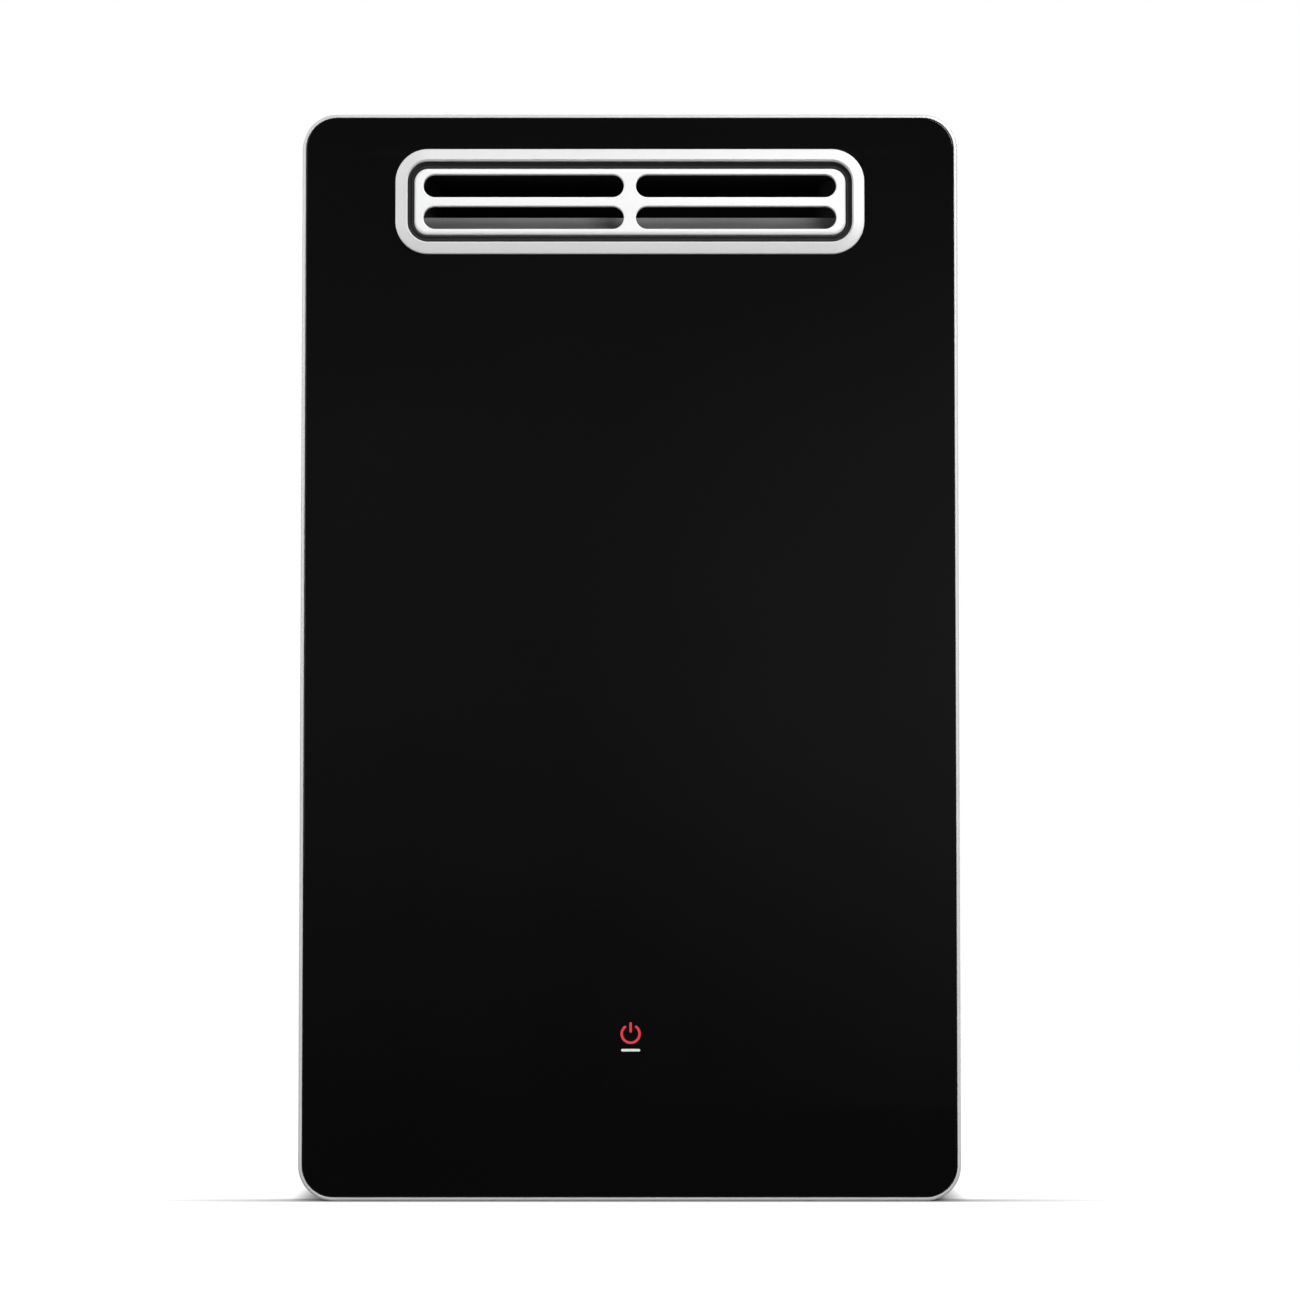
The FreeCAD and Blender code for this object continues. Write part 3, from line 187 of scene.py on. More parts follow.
def face_away(work, middle):
    """Turn an open skin so that its faces look away from a point in metres."""
    total = sum(f.calc_area() * f.normal.dot(f.calc_center_median() - middle) for f in work.faces)
    if total < 0:
        bmesh.ops.reverse_faces(work, faces=work.faces)


def folded(work, radius):
    """Give the folds of a sheet their bend radius."""
    folds = [e for e in work.edges if len(e.link_faces) == 2 and e.calc_face_angle() > LEAST_FOLD]
    bmesh.ops.bevel(work, geom=folds, offset=radius * MM, segments=3, profile=0.5, affect="EDGES")


def meshed(name, parts, weld, bend, middle):
    """A mesh in metres from parts in millimetres. Given a middle, its faces look away from there."""
    points, faces = merged(*parts)
    mesh = bpy.data.meshes.new(name)
    mesh.from_pydata([tuple(c * MM for c in p) for p in points], [], faces)
    work = bmesh.new()
    work.from_mesh(mesh)
    if weld:
        bmesh.ops.remove_doubles(work, verts=work.verts, dist=SAME_POINT)
        bmesh.ops.dissolve_degenerate(work, edges=work.edges, dist=SAME_POINT / 2)
    bmesh.ops.recalc_face_normals(work, faces=work.faces)
    if bend:
        folded(work, bend)
    if middle:
        face_away(work, Vector(middle) * MM)
    work.to_mesh(mesh)
    work.free()
    return mesh


def thickened(piece, thickness):
    """The mesh of a skin that is given the thickness of its sheet, inwards. A second finish goes inside."""
    wall = piece.modifiers.new("sheet", "SOLIDIFY")
    wall.thickness = thickness * MM
    wall.offset = -1.0
    wall.use_even_offset = True
    wall.material_offset = len(piece.data.materials) - 1
    solid = bpy.data.meshes.new_from_object(piece.evaluated_get(bpy.context.evaluated_depsgraph_get()))
    piece.modifiers.clear()
    return solid


print("points closer than", SAME_POINT / MM, "mm are welded")

# %% [markdown]
# ## From a mesh to a piece
# A piece is one object with one finish that rides on a body of the frame. Edges sharper than 32 degrees stay
# crisp, and weighted normals keep large flat faces flat where they meet a rounded edge. A piece that stands
# for a node hides it; the slot that the record names for that node is nearly always the name of its finish.

# %% Make a piece
made_pieces = {}
finishes = {}


def make_piece(name, parts, finish, body="heater", stands_for=None, crisp=32.0, weld=True,
               bend=None, sheet=None, middle=(0.0, 0.0, 325.0), inside=None):
    """An object from parts in millimetres. A sheet's middle is the point that its faces look away from."""
    mesh = meshed(name, parts, weld, bend, middle if sheet else None)
    for coat in (finish, inside):
        if coat:
            mesh.materials.append(finishes[coat])
    piece = bpy.data.objects.new(name, mesh)
    scene.collection.objects.link(piece)
    if sheet:
        piece.data = thickened(piece, sheet)
    piece.data.shade_smooth()
    piece.data.set_sharp_from_angle(angle=math.radians(crisp))
    smooth = piece.modifiers.new("weighted normals", "WEIGHTED_NORMAL")
    smooth.keep_sharp = True
    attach(piece, body)
    if stands_for:
        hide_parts(stands_for)
    made_pieces[name] = len(piece.data.polygons)


def face_counts(*names):
    """What some pieces came out as."""
    return ", ".join(f"{name}: {made_pieces[name]} faces" for name in names)


print("pieces so far:", len(made_pieces))

# %% [markdown]
# ## A lathe
# Pipe fittings are turned from bar: each step of the profile is a radius at a height. A hexagon is only a
# radius that changes with the angle, so a row gives a height and a radius, or a rule for the radius at an
# angle. A nut's curved corners come from cutting the hexagon with a cone, that is from taking the smaller
# of two radii.

# %% Lathe
AROUND = 48
FORWARDS, REARWARDS, DOWNWARDS, RIGHTWARDS = (0, -1, 0), (0, 1, 0), (0, 0, -1), (1, 0, 0)


def turned(rows, place, around=AROUND, closed_ends=True):
    """A solid of revolution: rows are (height, radius), where the radius may be a rule of the angle."""
    loops = []
    for height, radius in rows:
        loop = []
        for k in range(around):
            turn = 2 * math.pi * k / around
            r = radius(turn) if callable(radius) else radius
            loop.append((r * math.cos(turn), r * math.sin(turn), height))
        loops.append(loop)
    points, faces = closed(loops) if closed_ends else skin(loops)
    return [tuple(place @ Vector(p)) for p in points], faces


def polygon(across, sides=6, corner=None):
    """The radius of a regular polygon at an angle, with its corners cut at a radius."""
    def radius(turn):
        step = 2 * math.pi / sides
        flat = across / 2 / math.cos((turn % step) - step / 2)
        return min(flat, corner) if corner else flat
    return radius


def hexagon(low, high, across, sides=6, chamfer=0.9):
    """Rows of a hexagon bar whose two ends are chamfered on the lathe."""
    tip = across / 2 / math.cos(math.pi / sides)
    face = across / 2 - 0.4
    rows = [(low, face)]
    for step in (0.25, 0.5, 0.75, 1.0):
        rows.append((low + chamfer * step, polygon(across, sides, face + (tip - face) * step)))
    return rows + [(high + low - z, r) for z, r in reversed(rows)]


def upright(x, y, z=0.0):
    """A place on the lathe's own axis: straight up at x, y."""
    return Matrix.Translation((x, y, z))


def facing(x, y, z, toward):
    """A place with the lathe's axis turned towards a direction."""
    turn = Vector(toward).to_track_quat("Z", "Y").to_matrix().to_4x4()
    return Matrix.Translation((x, y, z)) @ turn


print("a hexagon has", len(hexagon(0.0, 10.0, 20.0)), "rows")

# %% [markdown]
# ## Rounded blocks
# Moulded and cast boxes never have sharp edges. This block is a cube bevelled in bmesh, and handed on as
# points and faces, so that several can make one casting.

# %% Rounded blocks


def soft_block(x0, x1, y0, y1, z0, z1, edge, steps=2):
    """A block with rounded edges and corners."""
    work = bmesh.new()
    bmesh.ops.create_cube(work, size=1.0)
    for corner in work.verts:
        corner.co = Vector((x1 if corner.co.x > 0 else x0, y1 if corner.co.y > 0 else y0,
                            z1 if corner.co.z > 0 else z0))
    bmesh.ops.bevel(work, geom=list(work.edges), offset=edge, segments=steps, profile=0.5, affect="EDGES")
    work.verts.index_update()
    part = [tuple(v.co) for v in work.verts], [tuple(v.index for v in f.verts) for f in work.faces]
    work.free()
    return part


def block_at(x, half_x, y, half_y, z0, z1, edge, steps=2):
    """A rounded block from z0 to z1 round x, y."""
    return soft_block(x - half_x, x + half_x, y - half_y, y + half_y, z0, z1, edge, steps)


print("a rounded block has", len(block_at(0, 5, 0, 5, 0, 10, 1)[1]), "faces")

# %% [markdown]
# ## Screw heads
# The model leaves its small fasteners to this lesson. A sheet-metal screw has a hexagon with a pressed
# washer and a sunk top. A machine screw has a pan head, and its cross is a sunk star: a radius that is
# larger at four angles.

# %% Screws
CROSS_HALF_ANGLE = 0.22


def pan_head(place, radius=3.4, height=2.0):
    """A pan head with a sunk cross."""
    def cross(turn):
        from_arm = abs((turn + math.pi / 4) % (math.pi / 2) - math.pi / 4)
        return radius * (0.5 if from_arm < CROSS_HALF_ANGLE else 0.17)

    rows = [(0.0, radius), (height * 0.35, radius), (height * 0.7, radius * 0.93),
            (height * 0.93, radius * 0.75), (height, radius * 0.58), (height, cross),
            (height * 0.45, lambda turn: cross(turn) * 0.8)]
    return turned(rows, place, 32)


def washer_head(place, across=5.5, height=3.0):
    """A hexagon head with a pressed washer, dished on top."""
    rows = [(0.0, across * 0.78), (0.5, across * 0.78), (0.8, across * 0.7), (0.85, across * 0.5)]
    rows += hexagon(0.9, height, across, 6, 0.4) + [(height - 0.4, across * 0.3)]
    return turned(rows, place, 36)


def screws(name, heads, body="heater"):
    """A piece of screw heads."""
    make_piece(name, heads, "bright_steel", body)


print("a pan head has", len(pan_head(upright(0, 0))[1]), "faces")

# %% [markdown]
# ## Patterns for finishes
# Every finish is made of nodes and measured in metres on the object itself, so a pattern keeps its real
# size and rides with its piece. A pattern is noise or cells, and it can be stretched along an axis.

# %% Patterns


def feed(node, inputs):
    """Set a node's inputs to numbers, or link them to the outputs of other nodes."""
    for name, value in inputs.items():
        if isinstance(value, bpy.types.NodeSocket):
            node.id_data.links.new(value, node.inputs[name])
        else:
            node.inputs[name].default_value = value
    return node


def added(near, kind, inputs):
    """A new node in the same tree as another node or its socket."""
    return feed(near.id_data.nodes.new("ShaderNode" + kind), inputs)


def start_finish(name, colour, roughness, metallic=0.0):
    """A new finish, kept by its name. Gives its shader and the place on the object."""
    finish = bpy.data.materials.new(name)
    finish.use_nodes = True
    finishes[name] = finish
    shader = feed(finish.node_tree.nodes["Principled BSDF"],
                  {"Base Color": (*colour, 1.0), "Roughness": roughness, "Metallic": metallic})
    return shader, added(shader, "TexCoord", {}).outputs["Object"]


def stretched(place, scale):
    """The place on the object, stretched: a small number draws the pattern out along that axis."""
    return added(place, "Mapping", {"Vector": place, "Scale": scale}).outputs["Vector"]


def coordinate(place, axis):
    """One coordinate of a place."""
    return added(place, "SeparateXYZ", {"Vector": place}).outputs[axis]


def noise(place, per_metre, detail=3.0, rough=0.55):
    """Soft noise, about per_metre grains to the metre."""
    grains = {"Vector": place, "Scale": per_metre, "Detail": detail, "Roughness": rough}
    return added(place, "TexNoise", grains).outputs["Fac"]


def cells(place, per_metre, output="Distance"):
    """Cells like crystals or pores."""
    return added(place, "TexVoronoi", {"Vector": place, "Scale": per_metre}).outputs[output]


def grey_cells(place, per_metre):
    """Cells that each have a grey of their own, like flakes."""
    return added(place, "RGBToBW", {"Color": cells(place, per_metre, "Color")}).outputs["Val"]


def calculated(operation, *values):
    """A calculation on sockets and numbers."""
    socket = next(value for value in values if not isinstance(value, float))
    node = added(socket, "Math", dict(enumerate(values)))
    node.operation = operation
    return node.outputs["Value"]


print("650 grains to the metre are", round(1000 / 650, 1), "mm apart")

# %% [markdown]
# ## What a pattern drives
# A finish varies in its colour, in how sharply it reflects and in its fine relief. `spread` brings a
# pattern between two values, `uneven_colour` makes colours of it, and `relief` bumps of a stated height.

# %% Colour, gloss and relief


def shade(colour, factor):
    """A colour made darker or lighter."""
    return tuple(min(1.0, c * factor) for c in colour)


def spread(value, low, high, from_low=0.3, from_high=0.7):
    """A pattern brought into the range from low to high."""
    ranges = {"Value": value, "From Min": from_low, "From Max": from_high, "To Min": low, "To Max": high}
    return added(value, "MapRange", ranges).outputs["Result"]


def uneven_gloss(shader, value, low, high, from_low=0.3, from_high=0.7):
    """Roughness that follows a pattern."""
    feed(shader, {"Roughness": spread(value, low, high, from_low, from_high)})


def uneven_colour(shader, value, stops):
    """Colours along a pattern: stops are (position, colour)."""
    ramp = added(value, "ValToRGB", {"Fac": value})
    while len(ramp.color_ramp.elements) < len(stops):
        ramp.color_ramp.elements.new(0.5)
    for element, (position, colour) in zip(ramp.color_ramp.elements, stops):
        element.position = position
        element.color = (*colour, 1.0)
    feed(shader, {"Base Color": ramp.outputs["Color"]})
    return ramp.outputs["Color"]


def relief(shader, value, height, strength=0.5):
    """Fine bumps, their height in millimetres."""
    bump = added(value, "Bump", {"Height": value, "Distance": height * MM, "Strength": strength})
    feed(shader, {"Normal": bump.outputs["Normal"]})


print("half as bright as 0.8 is", shade((0.8,), 0.5)[0])

# %% [markdown]
# ## Painted, printed and silver surfaces
# The case has a satin powder coat with a fine orange peel. The frame, the bezel and the louvre plate are
# sprayed silver: metal flakes in a clear binder, so partly metal and partly plain pale colour. Mixing the
# two in one shader gives its pale face and soft sheen without any trick of the camera.

# %% Coats


def powder_coat(name, colour, roughness, gloss):
    """Satin paint with orange peel."""
    shader, place = start_finish(name, colour, roughness)
    shader.inputs["Specular IOR Level"].default_value = gloss
    mottle = noise(place, 14.0)
    uneven_colour(shader, mottle, [(0.25, shade(colour, 0.95)), (0.75, shade(colour, 1.04))])
    uneven_gloss(shader, noise(place, 900.0, 2.0), roughness - 0.06, roughness + 0.08)
    relief(shader, noise(place, 650.0, 1.0), 0.035)


def silver_spray(name, colour, roughness, metallic, flakes=5200.0):
    """Metal flakes in a clear binder."""
    shader, place = start_finish(name, colour, roughness, metallic)
    flake = grey_cells(place, flakes)
    uneven_colour(shader, flake, [(0.1, shade(colour, 0.95)), (0.9, shade(colour, 1.04))])
    uneven_gloss(shader, noise(place, 60.0), roughness - 0.03, roughness + 0.05)
    relief(shader, noise(place, 2200.0, 1.0), 0.006)


def black_glass(name, colour, thin, thick):
    """Glass printed black behind, where the print is a little thinner or thicker from place to place."""
    shader, place = start_finish(name, colour, 0.03)
    shader.inputs["IOR"].default_value = 1.5
    uneven_colour(shader, noise(place, 9.0, 2.0), [(0.3, thick), (0.7, thin)])
    smear = noise(stretched(place, (1.0, 1.0, 0.35)), 26.0, 4.0, 0.6)
    uneven_gloss(shader, smear, 0.02, 0.07)


def lit_print(name, colour, strength):
    """A printed mark that glows a little."""
    shader, place = start_finish(name, shade(colour, 0.5), 0.35)
    ink = noise(place, 500.0, 1.0)
    light = uneven_colour(shader, ink, [(0.3, shade(colour, 0.9)), (0.7, colour)])
    feed(shader, {"Emission Color": light, "Emission Strength": strength})


powder_coat("case_paint", (0.40, 0.41, 0.42), 0.62, 0.25)
silver_spray("silver_trim", (0.73, 0.732, 0.735), 0.44, 0.15)
silver_spray("frame_silver", (0.70, 0.702, 0.705), 0.40, 0.25)
silver_spray("grille_plate", (0.89, 0.892, 0.895), 0.45, 0.1)
black_glass("black_glass", (0.0019, 0.0019, 0.0020), (0.0022, 0.0022, 0.0023), (0.0017, 0.0017, 0.0018))
lit_print("red_light", (0.60, 0.036, 0.055), 0.32)
lit_print("white_light", (0.56, 0.66, 0.60), 0.35)
print("coats:", ", ".join(finishes))

# %% [markdown]
# ## Metals
# Each metal is known by how it was worked. Zinc-dipped sheet shows a spangle of flat crystals, stainless
# sheet brush lines in one direction, a die casting a fine sandy skin. Turned brass has rings, and drawn
# copper a soft tarnish that goes brown where it was brazed or gets hot.

# %% Metals


def zinc_sheet(name, colour):
    """Zinc-dipped sheet: crystals under a soft cloud."""
    shader, place = start_finish(name, colour, 0.42, 0.6)
    cloud = spread(noise(place, 30.0, 5.0, 0.6), 0.1, 0.45)
    spangle = calculated("MULTIPLY_ADD", grey_cells(place, 210.0), 0.5, cloud)
    uneven_colour(shader, spangle, [(0.2, shade(colour, 0.80)), (0.5, colour), (0.85, shade(colour, 1.10))])
    uneven_gloss(shader, spangle, 0.32, 0.52, 0.1, 0.9)
    relief(shader, noise(place, 500.0), 0.01)


def shade_painted_sheet(name, lit_colour, shaded_colour, lit_z, shade_z):
    """Sheet with painted shade: darker below one height than above another, in metres."""
    shader, place = start_finish(name, lit_colour, 0.6, 0.1)
    lit_share = spread(coordinate(place, "Z"), 0.0, 0.8, shade_z, lit_z)
    cloud = noise(stretched(place, (0.3, 1.0, 1.0)), 60.0, 4.0)
    uneven_lit_share = calculated("ADD", lit_share, spread(cloud, 0.0, 0.2))
    uneven_colour(shader, uneven_lit_share, [(0.1, shaded_colour), (0.9, lit_colour)])
    uneven_gloss(shader, cloud, 0.55, 0.7)
    relief(shader, noise(place, 500.0), 0.01)


def brushed_metal(name, colour, roughness, along=(1.0, 1.0, 0.02), metallic=1.0):
    """Brush lines in one direction."""
    shader, place = start_finish(name, colour, roughness, metallic)
    lines = noise(stretched(place, along), 2600.0, 3.0)
    uneven_colour(shader, lines, [(0.3, shade(colour, 0.96)), (0.7, shade(colour, 1.03))])
    uneven_gloss(shader, lines, roughness - 0.04, roughness + 0.06)
    relief(shader, lines, 0.003, 0.4)


def cast_metal(name, colour, roughness):
    """The sandy skin of a die casting."""
    shader, place = start_finish(name, colour, roughness, 0.9)
    cloud = noise(place, 45.0)
    uneven_colour(shader, cloud, [(0.3, shade(colour, 0.88)), (0.7, shade(colour, 1.06))])
    sand = noise(place, 1100.0, 3.0)
    uneven_gloss(shader, sand, roughness - 0.08, roughness + 0.12)
    relief(shader, sand, 0.05, 0.6)


def turned_metal(name, colour, dull, roughness):
    """Rings from the lathe under a dull cloud."""
    shader, place = start_finish(name, colour, roughness, 1.0)
    cloud = noise(place, 55.0, 4.0)
    uneven_colour(shader, cloud, [(0.25, dull), (0.6, colour), (0.85, shade(colour, 1.08))])
    rings = noise(stretched(place, (0.05, 0.05, 1.0)), 3000.0, 2.0)
    uneven_gloss(shader, rings, roughness - 0.07, roughness + 0.1)
    relief(shader, rings, 0.01)


def hot_copper(name, colour, brown):
    """Drawn copper with a brown tarnish."""
    shader, place = start_finish(name, colour, 0.34, 0.9)
    stain = noise(place, 7.0, 6.0, 0.6)
    uneven_colour(shader, stain,
                  [(0.3, brown), (0.5, shade(colour, 0.93)), (0.62, colour), (0.78, shade(colour, 1.07))])
    uneven_gloss(shader, stain, 0.46, 0.28)
    relief(shader, noise(place, 700.0), 0.012)


zinc_sheet("galvanised", (0.60, 0.62, 0.64))
brushed_metal("stainless", (0.62, 0.61, 0.59), 0.32)
cast_metal("cast_aluminium", (0.62, 0.62, 0.62), 0.45)
turned_metal("brass", (0.74, 0.56, 0.27), (0.55, 0.38, 0.17), 0.28)
hot_copper("copper", (0.80, 0.43, 0.27), (0.58, 0.29, 0.18))
# Painted shade: the inside of the flue hood is coloured near-black, as the shade in it.
brushed_metal("shade_dark_steel", (0.035, 0.033, 0.031), 0.6, metallic=0.3)
# The rain baffle's finish: painted shade makes it darker below 580 mm and lighter above 589 mm.
shade_painted_sheet("smoked_zinc", (0.27, 0.27, 0.27), (0.10, 0.10, 0.10), 0.589, 0.580)
cast_metal("bright_steel", (0.66, 0.66, 0.65), 0.3)
brushed_metal("steel_dark", (0.20, 0.20, 0.21), 0.36, (0.05, 0.05, 1.0))
print("metals and coats:", len(finishes))

# %% [markdown]
# ## Plastics, rubber, foam and the rest
# Moulded housings have a spark-eroded grain, rubber is matt with a dusty bloom, and foam tape is a field of
# open pores. Circuit boards have copper tracks under a green mask. Fibre board is soft and streaky, glazed
# ceramic smooth with a few specks, and the sight pane a stack of thin mica sheets.

# %% Plastics, rubber, ceramics


def grained_plastic(name, colour, roughness):
    """A moulding with a spark-eroded grain."""
    shader, place = start_finish(name, colour, roughness)
    cloud = noise(place, 30.0)
    uneven_colour(shader, cloud, [(0.3, shade(colour, 0.92)), (0.7, shade(colour, 1.06))])
    grain = noise(place, 1500.0, 2.0)
    uneven_gloss(shader, grain, roughness - 0.06, roughness + 0.1)
    relief(shader, grain, 0.03, 0.6)


def matt_rubber(name, colour):
    """Rubber with a dusty bloom."""
    shader, place = start_finish(name, colour, 0.75)
    bloom = noise(place, 80.0, 4.0)
    uneven_colour(shader, bloom, [(0.3, colour), (0.75, shade(colour, 1.9))])
    uneven_gloss(shader, bloom, 0.65, 0.9)
    relief(shader, noise(place, 1800.0), 0.02, 0.6)


def foam_tape(name, colour):
    """Foam with open pores, painted darker at their centres as shade."""
    shader, place = start_finish(name, colour, 0.95)
    pores_and_shade = cells(place, 1300.0)
    # The pits of the pores get painted shade: darker towards each cell's centre.
    uneven_colour(shader, pores_and_shade, [(0.1, shade(colour, 0.4)), (0.6, colour)])
    relief(shader, pores_and_shade, 0.25, 0.8)


def track_board(name, colour):
    """A circuit board: tracks of copper under a green mask."""
    shader, place = start_finish(name, colour, 0.35)
    upturned = added(place, "Mapping", {"Vector": place, "Rotation": (math.radians(90.0), 0.0, 0.0)})
    greens = {name: (*shade(colour, factor), 1.0)
              for name, factor in (("Color1", 0.9), ("Color2", 1.15), ("Mortar", 1.9))}
    tracks = added(place, "TexBrick", {"Vector": upturned.outputs["Vector"], "Scale": 90.0,
                                      "Mortar Size": 0.035, **greens})
    feed(shader, {"Base Color": tracks.outputs["Color"]})
    relief(shader, tracks.outputs["Fac"], 0.04, 0.7)


def fibre_board(name, colour):
    """Soft board of mineral fibre, streaked one way."""
    shader, place = start_finish(name, colour, 0.95)
    fibres = noise(stretched(place, (1.0, 0.2, 0.15)), 900.0, 5.0, 0.7)
    uneven_colour(shader, fibres, [(0.3, shade(colour, 0.8)), (0.7, colour)])
    relief(shader, fibres, 0.3, 0.7)


def glazed(name, colour):
    """Glazed ceramic with a few specks."""
    shader, place = start_finish(name, colour, 0.18)
    specks = noise(place, 900.0, 2.0)
    uneven_colour(shader, specks, [(0.26, shade(colour, 0.7)), (0.34, colour)])
    relief(shader, noise(place, 200.0), 0.03, 0.4)


def mica_sheet(name, colour):
    """Thin sheets of mica that let some light through."""
    shader, place = start_finish(name, colour, 0.12)
    shader.inputs["Transmission Weight"].default_value = 0.6
    flakes = grey_cells(place, 220.0)
    uneven_colour(shader, flakes, [(0.2, shade(colour, 0.75)), (0.8, colour)])


matt_rubber("black_rubber", (0.006, 0.006, 0.006))
foam_tape("foam", (0.045, 0.045, 0.047))
grained_plastic("black_plastic", (0.022, 0.022, 0.024), 0.45)
grained_plastic("grey_plastic", (0.30, 0.31, 0.32), 0.48)
grained_plastic("white_plastic", (0.78, 0.78, 0.75), 0.42)
track_board("board", (0.02, 0.16, 0.06))
glazed("ceramic", (0.85, 0.82, 0.76))
fibre_board("lining", (0.80, 0.77, 0.70))
mica_sheet("mica", (0.80, 0.62, 0.34))
print("finishes:", len(finishes))

# %% [markdown]
# ## Dress every solid of the frame
# Every node first gets the finish that its record names. Those that keep their shape are then done. The
# material goes into the object's slot and not into the mesh, which stays as it was packed.

# %% Dress the frame's nodes
for node_name, node in nodes.items():
    if not node.material_slots:
        node.data.materials.append(None)
    for material_slot in node.material_slots:
        material_slot.link = "OBJECT"
        material_slot.material = finishes[slot_of[node_name]]
print("dressed:", len(nodes), "nodes with", len(set(slot_of.values())), "finishes")

# %% [markdown]
# ## The glass
# The front is one sheet of tempered glass, printed black behind, with an opening for the exhaust and a
# small ground arris. A cube with a bevel and a boolean could do it too, but stacked loops give even, clean
# corners: the front is a flat fill between two loops, and each loop steps back over the arris to the rear.

# %% Sizes of the front
CASE, MIDDLE = (393.5, 650.0, 21.0), 325.0
GLASS_FRONT, GLASS_BACK = -83.0, -79.8
GLASS_INSET, GLASS_GAP = 2.4, 2.9
OPENING_WIDTH, OPENING_HEIGHT, GRILLE_Z = 266.6, 47.6, 597.0
GLASS_HOLE = (OPENING_WIDTH + 2 * GLASS_GAP, OPENING_HEIGHT + 2 * GLASS_GAP, 0.2 + GLASS_GAP)


def case_loop(inset, y, steps=12):
    """The outline of the case, drawn in by inset."""
    return drawn_in(CASE, inset, y, 0.0, MIDDLE, steps)


def hole_loop(grow, y):
    """The outline of the hole in the glass, grown by grow."""
    return drawn_in(GLASS_HOLE, -grow, y, 0.0, GRILLE_Z, 8)


print("hole in the glass:", [round(size, 1) for size in GLASS_HOLE])

# %% Glass panel
arris = quarter_round(0.5, 3)
glass_rows = [case_loop(GLASS_INSET + inset, GLASS_FRONT + depth) for inset, depth in arris]
glass_rows.append(case_loop(GLASS_INSET, GLASS_BACK))
hole_rows = [hole_loop(inset, GLASS_FRONT + depth) for inset, depth in arris]
hole_rows.append(hole_loop(0.0, GLASS_BACK))
make_piece("glass_front", [pierced(glass_rows, [hole_rows])], "black_glass", "cover", "glass_panel")
print(face_counts("glass_front"))

# %% [markdown]
# ## The silver frame
# A slim frame runs round the glass. In the picture its outer part is a tone darker than a thin bright line
# next to the glass: the section has a rolled outer edge and a narrow flat land, and the light from above
# makes its lower run the darkest.

# %% Frame
FRAME_FRONT, SHOULDER = -83.3, -71.3
frame_section = [(0.0, SHOULDER), (0.0, -81.9), (0.08, -82.35), (0.3, -82.75), (0.65, -83.05),
                 (1.1, -83.24), (1.35, FRAME_FRONT), (1.95, FRAME_FRONT), (2.1, -83.15),
                 (2.1, SHOULDER)]
make_piece("silver_frame", [skin([case_loop(inset, y, 16) for inset, y in frame_section], True)],
           "frame_silver", "cover", "front_frame")
print(face_counts("silver_frame"))

# %% [markdown]
# ## The bezel of the exhaust outlet
# The bezel is a cast ring, 8 mm broad. Its face is slightly crowned, high inside and lower outside, with a
# small chamfer round its inner edge. So its upper run looks up at the light and its lower run looks down,
# as the picture shows. Behind the glass a square collar holds it in the opening.

# %% Bezel
BEZEL, BEZEL_FRONT, BEZEL_BREADTH = (282.2, 64.0, 20.0), -86.0, 7.6
COLLAR_SHEET, COLLAR_BACK = 2.4, -75.0
bezel_section = [(0.3, GLASS_FRONT), (0.3, -84.2), (0.4, -84.5), (0.6, -84.68), (0.95, -84.84),
                 (2.4, -85.17), (4.0, -85.48), (5.4, -85.76), (6.7, BEZEL_FRONT),
                 (BEZEL_BREADTH, -84.9), (BEZEL_BREADTH, -78.5)]


def collar_loop(grow, y, corner):
    """The outline of the square collar behind the bezel."""
    return rounded_loop(OPENING_WIDTH + 2 * grow, OPENING_HEIGHT + 2 * grow, corner, y, 0.0, GRILLE_Z, 14)


bezel_rows = [drawn_in(BEZEL, inset, y, 0.0, GRILLE_Z, 14) for inset, y in bezel_section]
bezel_rows += [collar_loop(0.0, y, 1.0) for y in (-78.4, COLLAR_BACK)]
bezel_rows += [collar_loop(COLLAR_SHEET, y, 2.0) for y in (COLLAR_BACK, GLASS_FRONT)]
make_piece("outlet_bezel", [skin(bezel_rows, True)], "silver_trim", "cover", "exhaust_bezel")
print(face_counts("outlet_bezel"))

# %% [markdown]
# ## The louvre plate
# Four long slots let the flue gas out. The plate is cast, so all its edges are rounded: a broad round where
# it sinks towards the seal, and a small one at each slot. The same stack of loops does both.

# %% Louvre plate
PLATE, PLATE_FRONT, PLATE_THICK, PLATE_ROUND = (259.2, 40.3, 8.4), -84.0, 4.0, 2.3
SLOT, SLOT_ROUND, SLOT_FROM_MIDDLE = (120.4, 13.8, 6.9), 0.55, (63.8, 9.6)


def plate_stack(size, direction, edge, x, z):
    """From the front round an edge to the back, drawn in at the front or, with -1, let out there."""
    return [drawn_in(size, direction * inset, PLATE_FRONT + depth, x, z)
            for inset, depth in edge + [(0.0, PLATE_THICK)]]


plate_rows = plate_stack(PLATE, 1, quarter_round(PLATE_ROUND, 6), 0.0, GRILLE_Z)
slots = [plate_stack(SLOT, -1, quarter_round(SLOT_ROUND, 4), x, z)
         for x, z in four_corners(0.0, GRILLE_Z, *SLOT_FROM_MIDDLE)]
make_piece("louvre_plate", [pierced(plate_rows, slots)], "grille_plate", "cover", "exhaust_grille")
print(face_counts("louvre_plate"))

# %% [markdown]
# ## The seal round the plate
# A black silicone ring holds the plate in the bezel and shows as the black line between the two. Its
# section has two soft lips and a groove. The bezel's opening and the plate aren't quite parallel, so each
# loop is a mix of the two outlines.

# %% Seal ring
SEAL_OUTSIDE, SEAL_INSIDE = (OPENING_WIDTH, OPENING_HEIGHT, 11.8), (260.0, 40.5, 8.4)
seal_section = [(0.0, -78.5), (0.0, -82.2), (0.06, -82.6), (0.2, -82.75), (0.36, -82.5), (0.45, -81.9),
                (0.55, -81.9), (0.64, -82.5), (0.8, -82.75), (0.94, -82.6), (1.0, -82.2), (1.0, -78.5)]


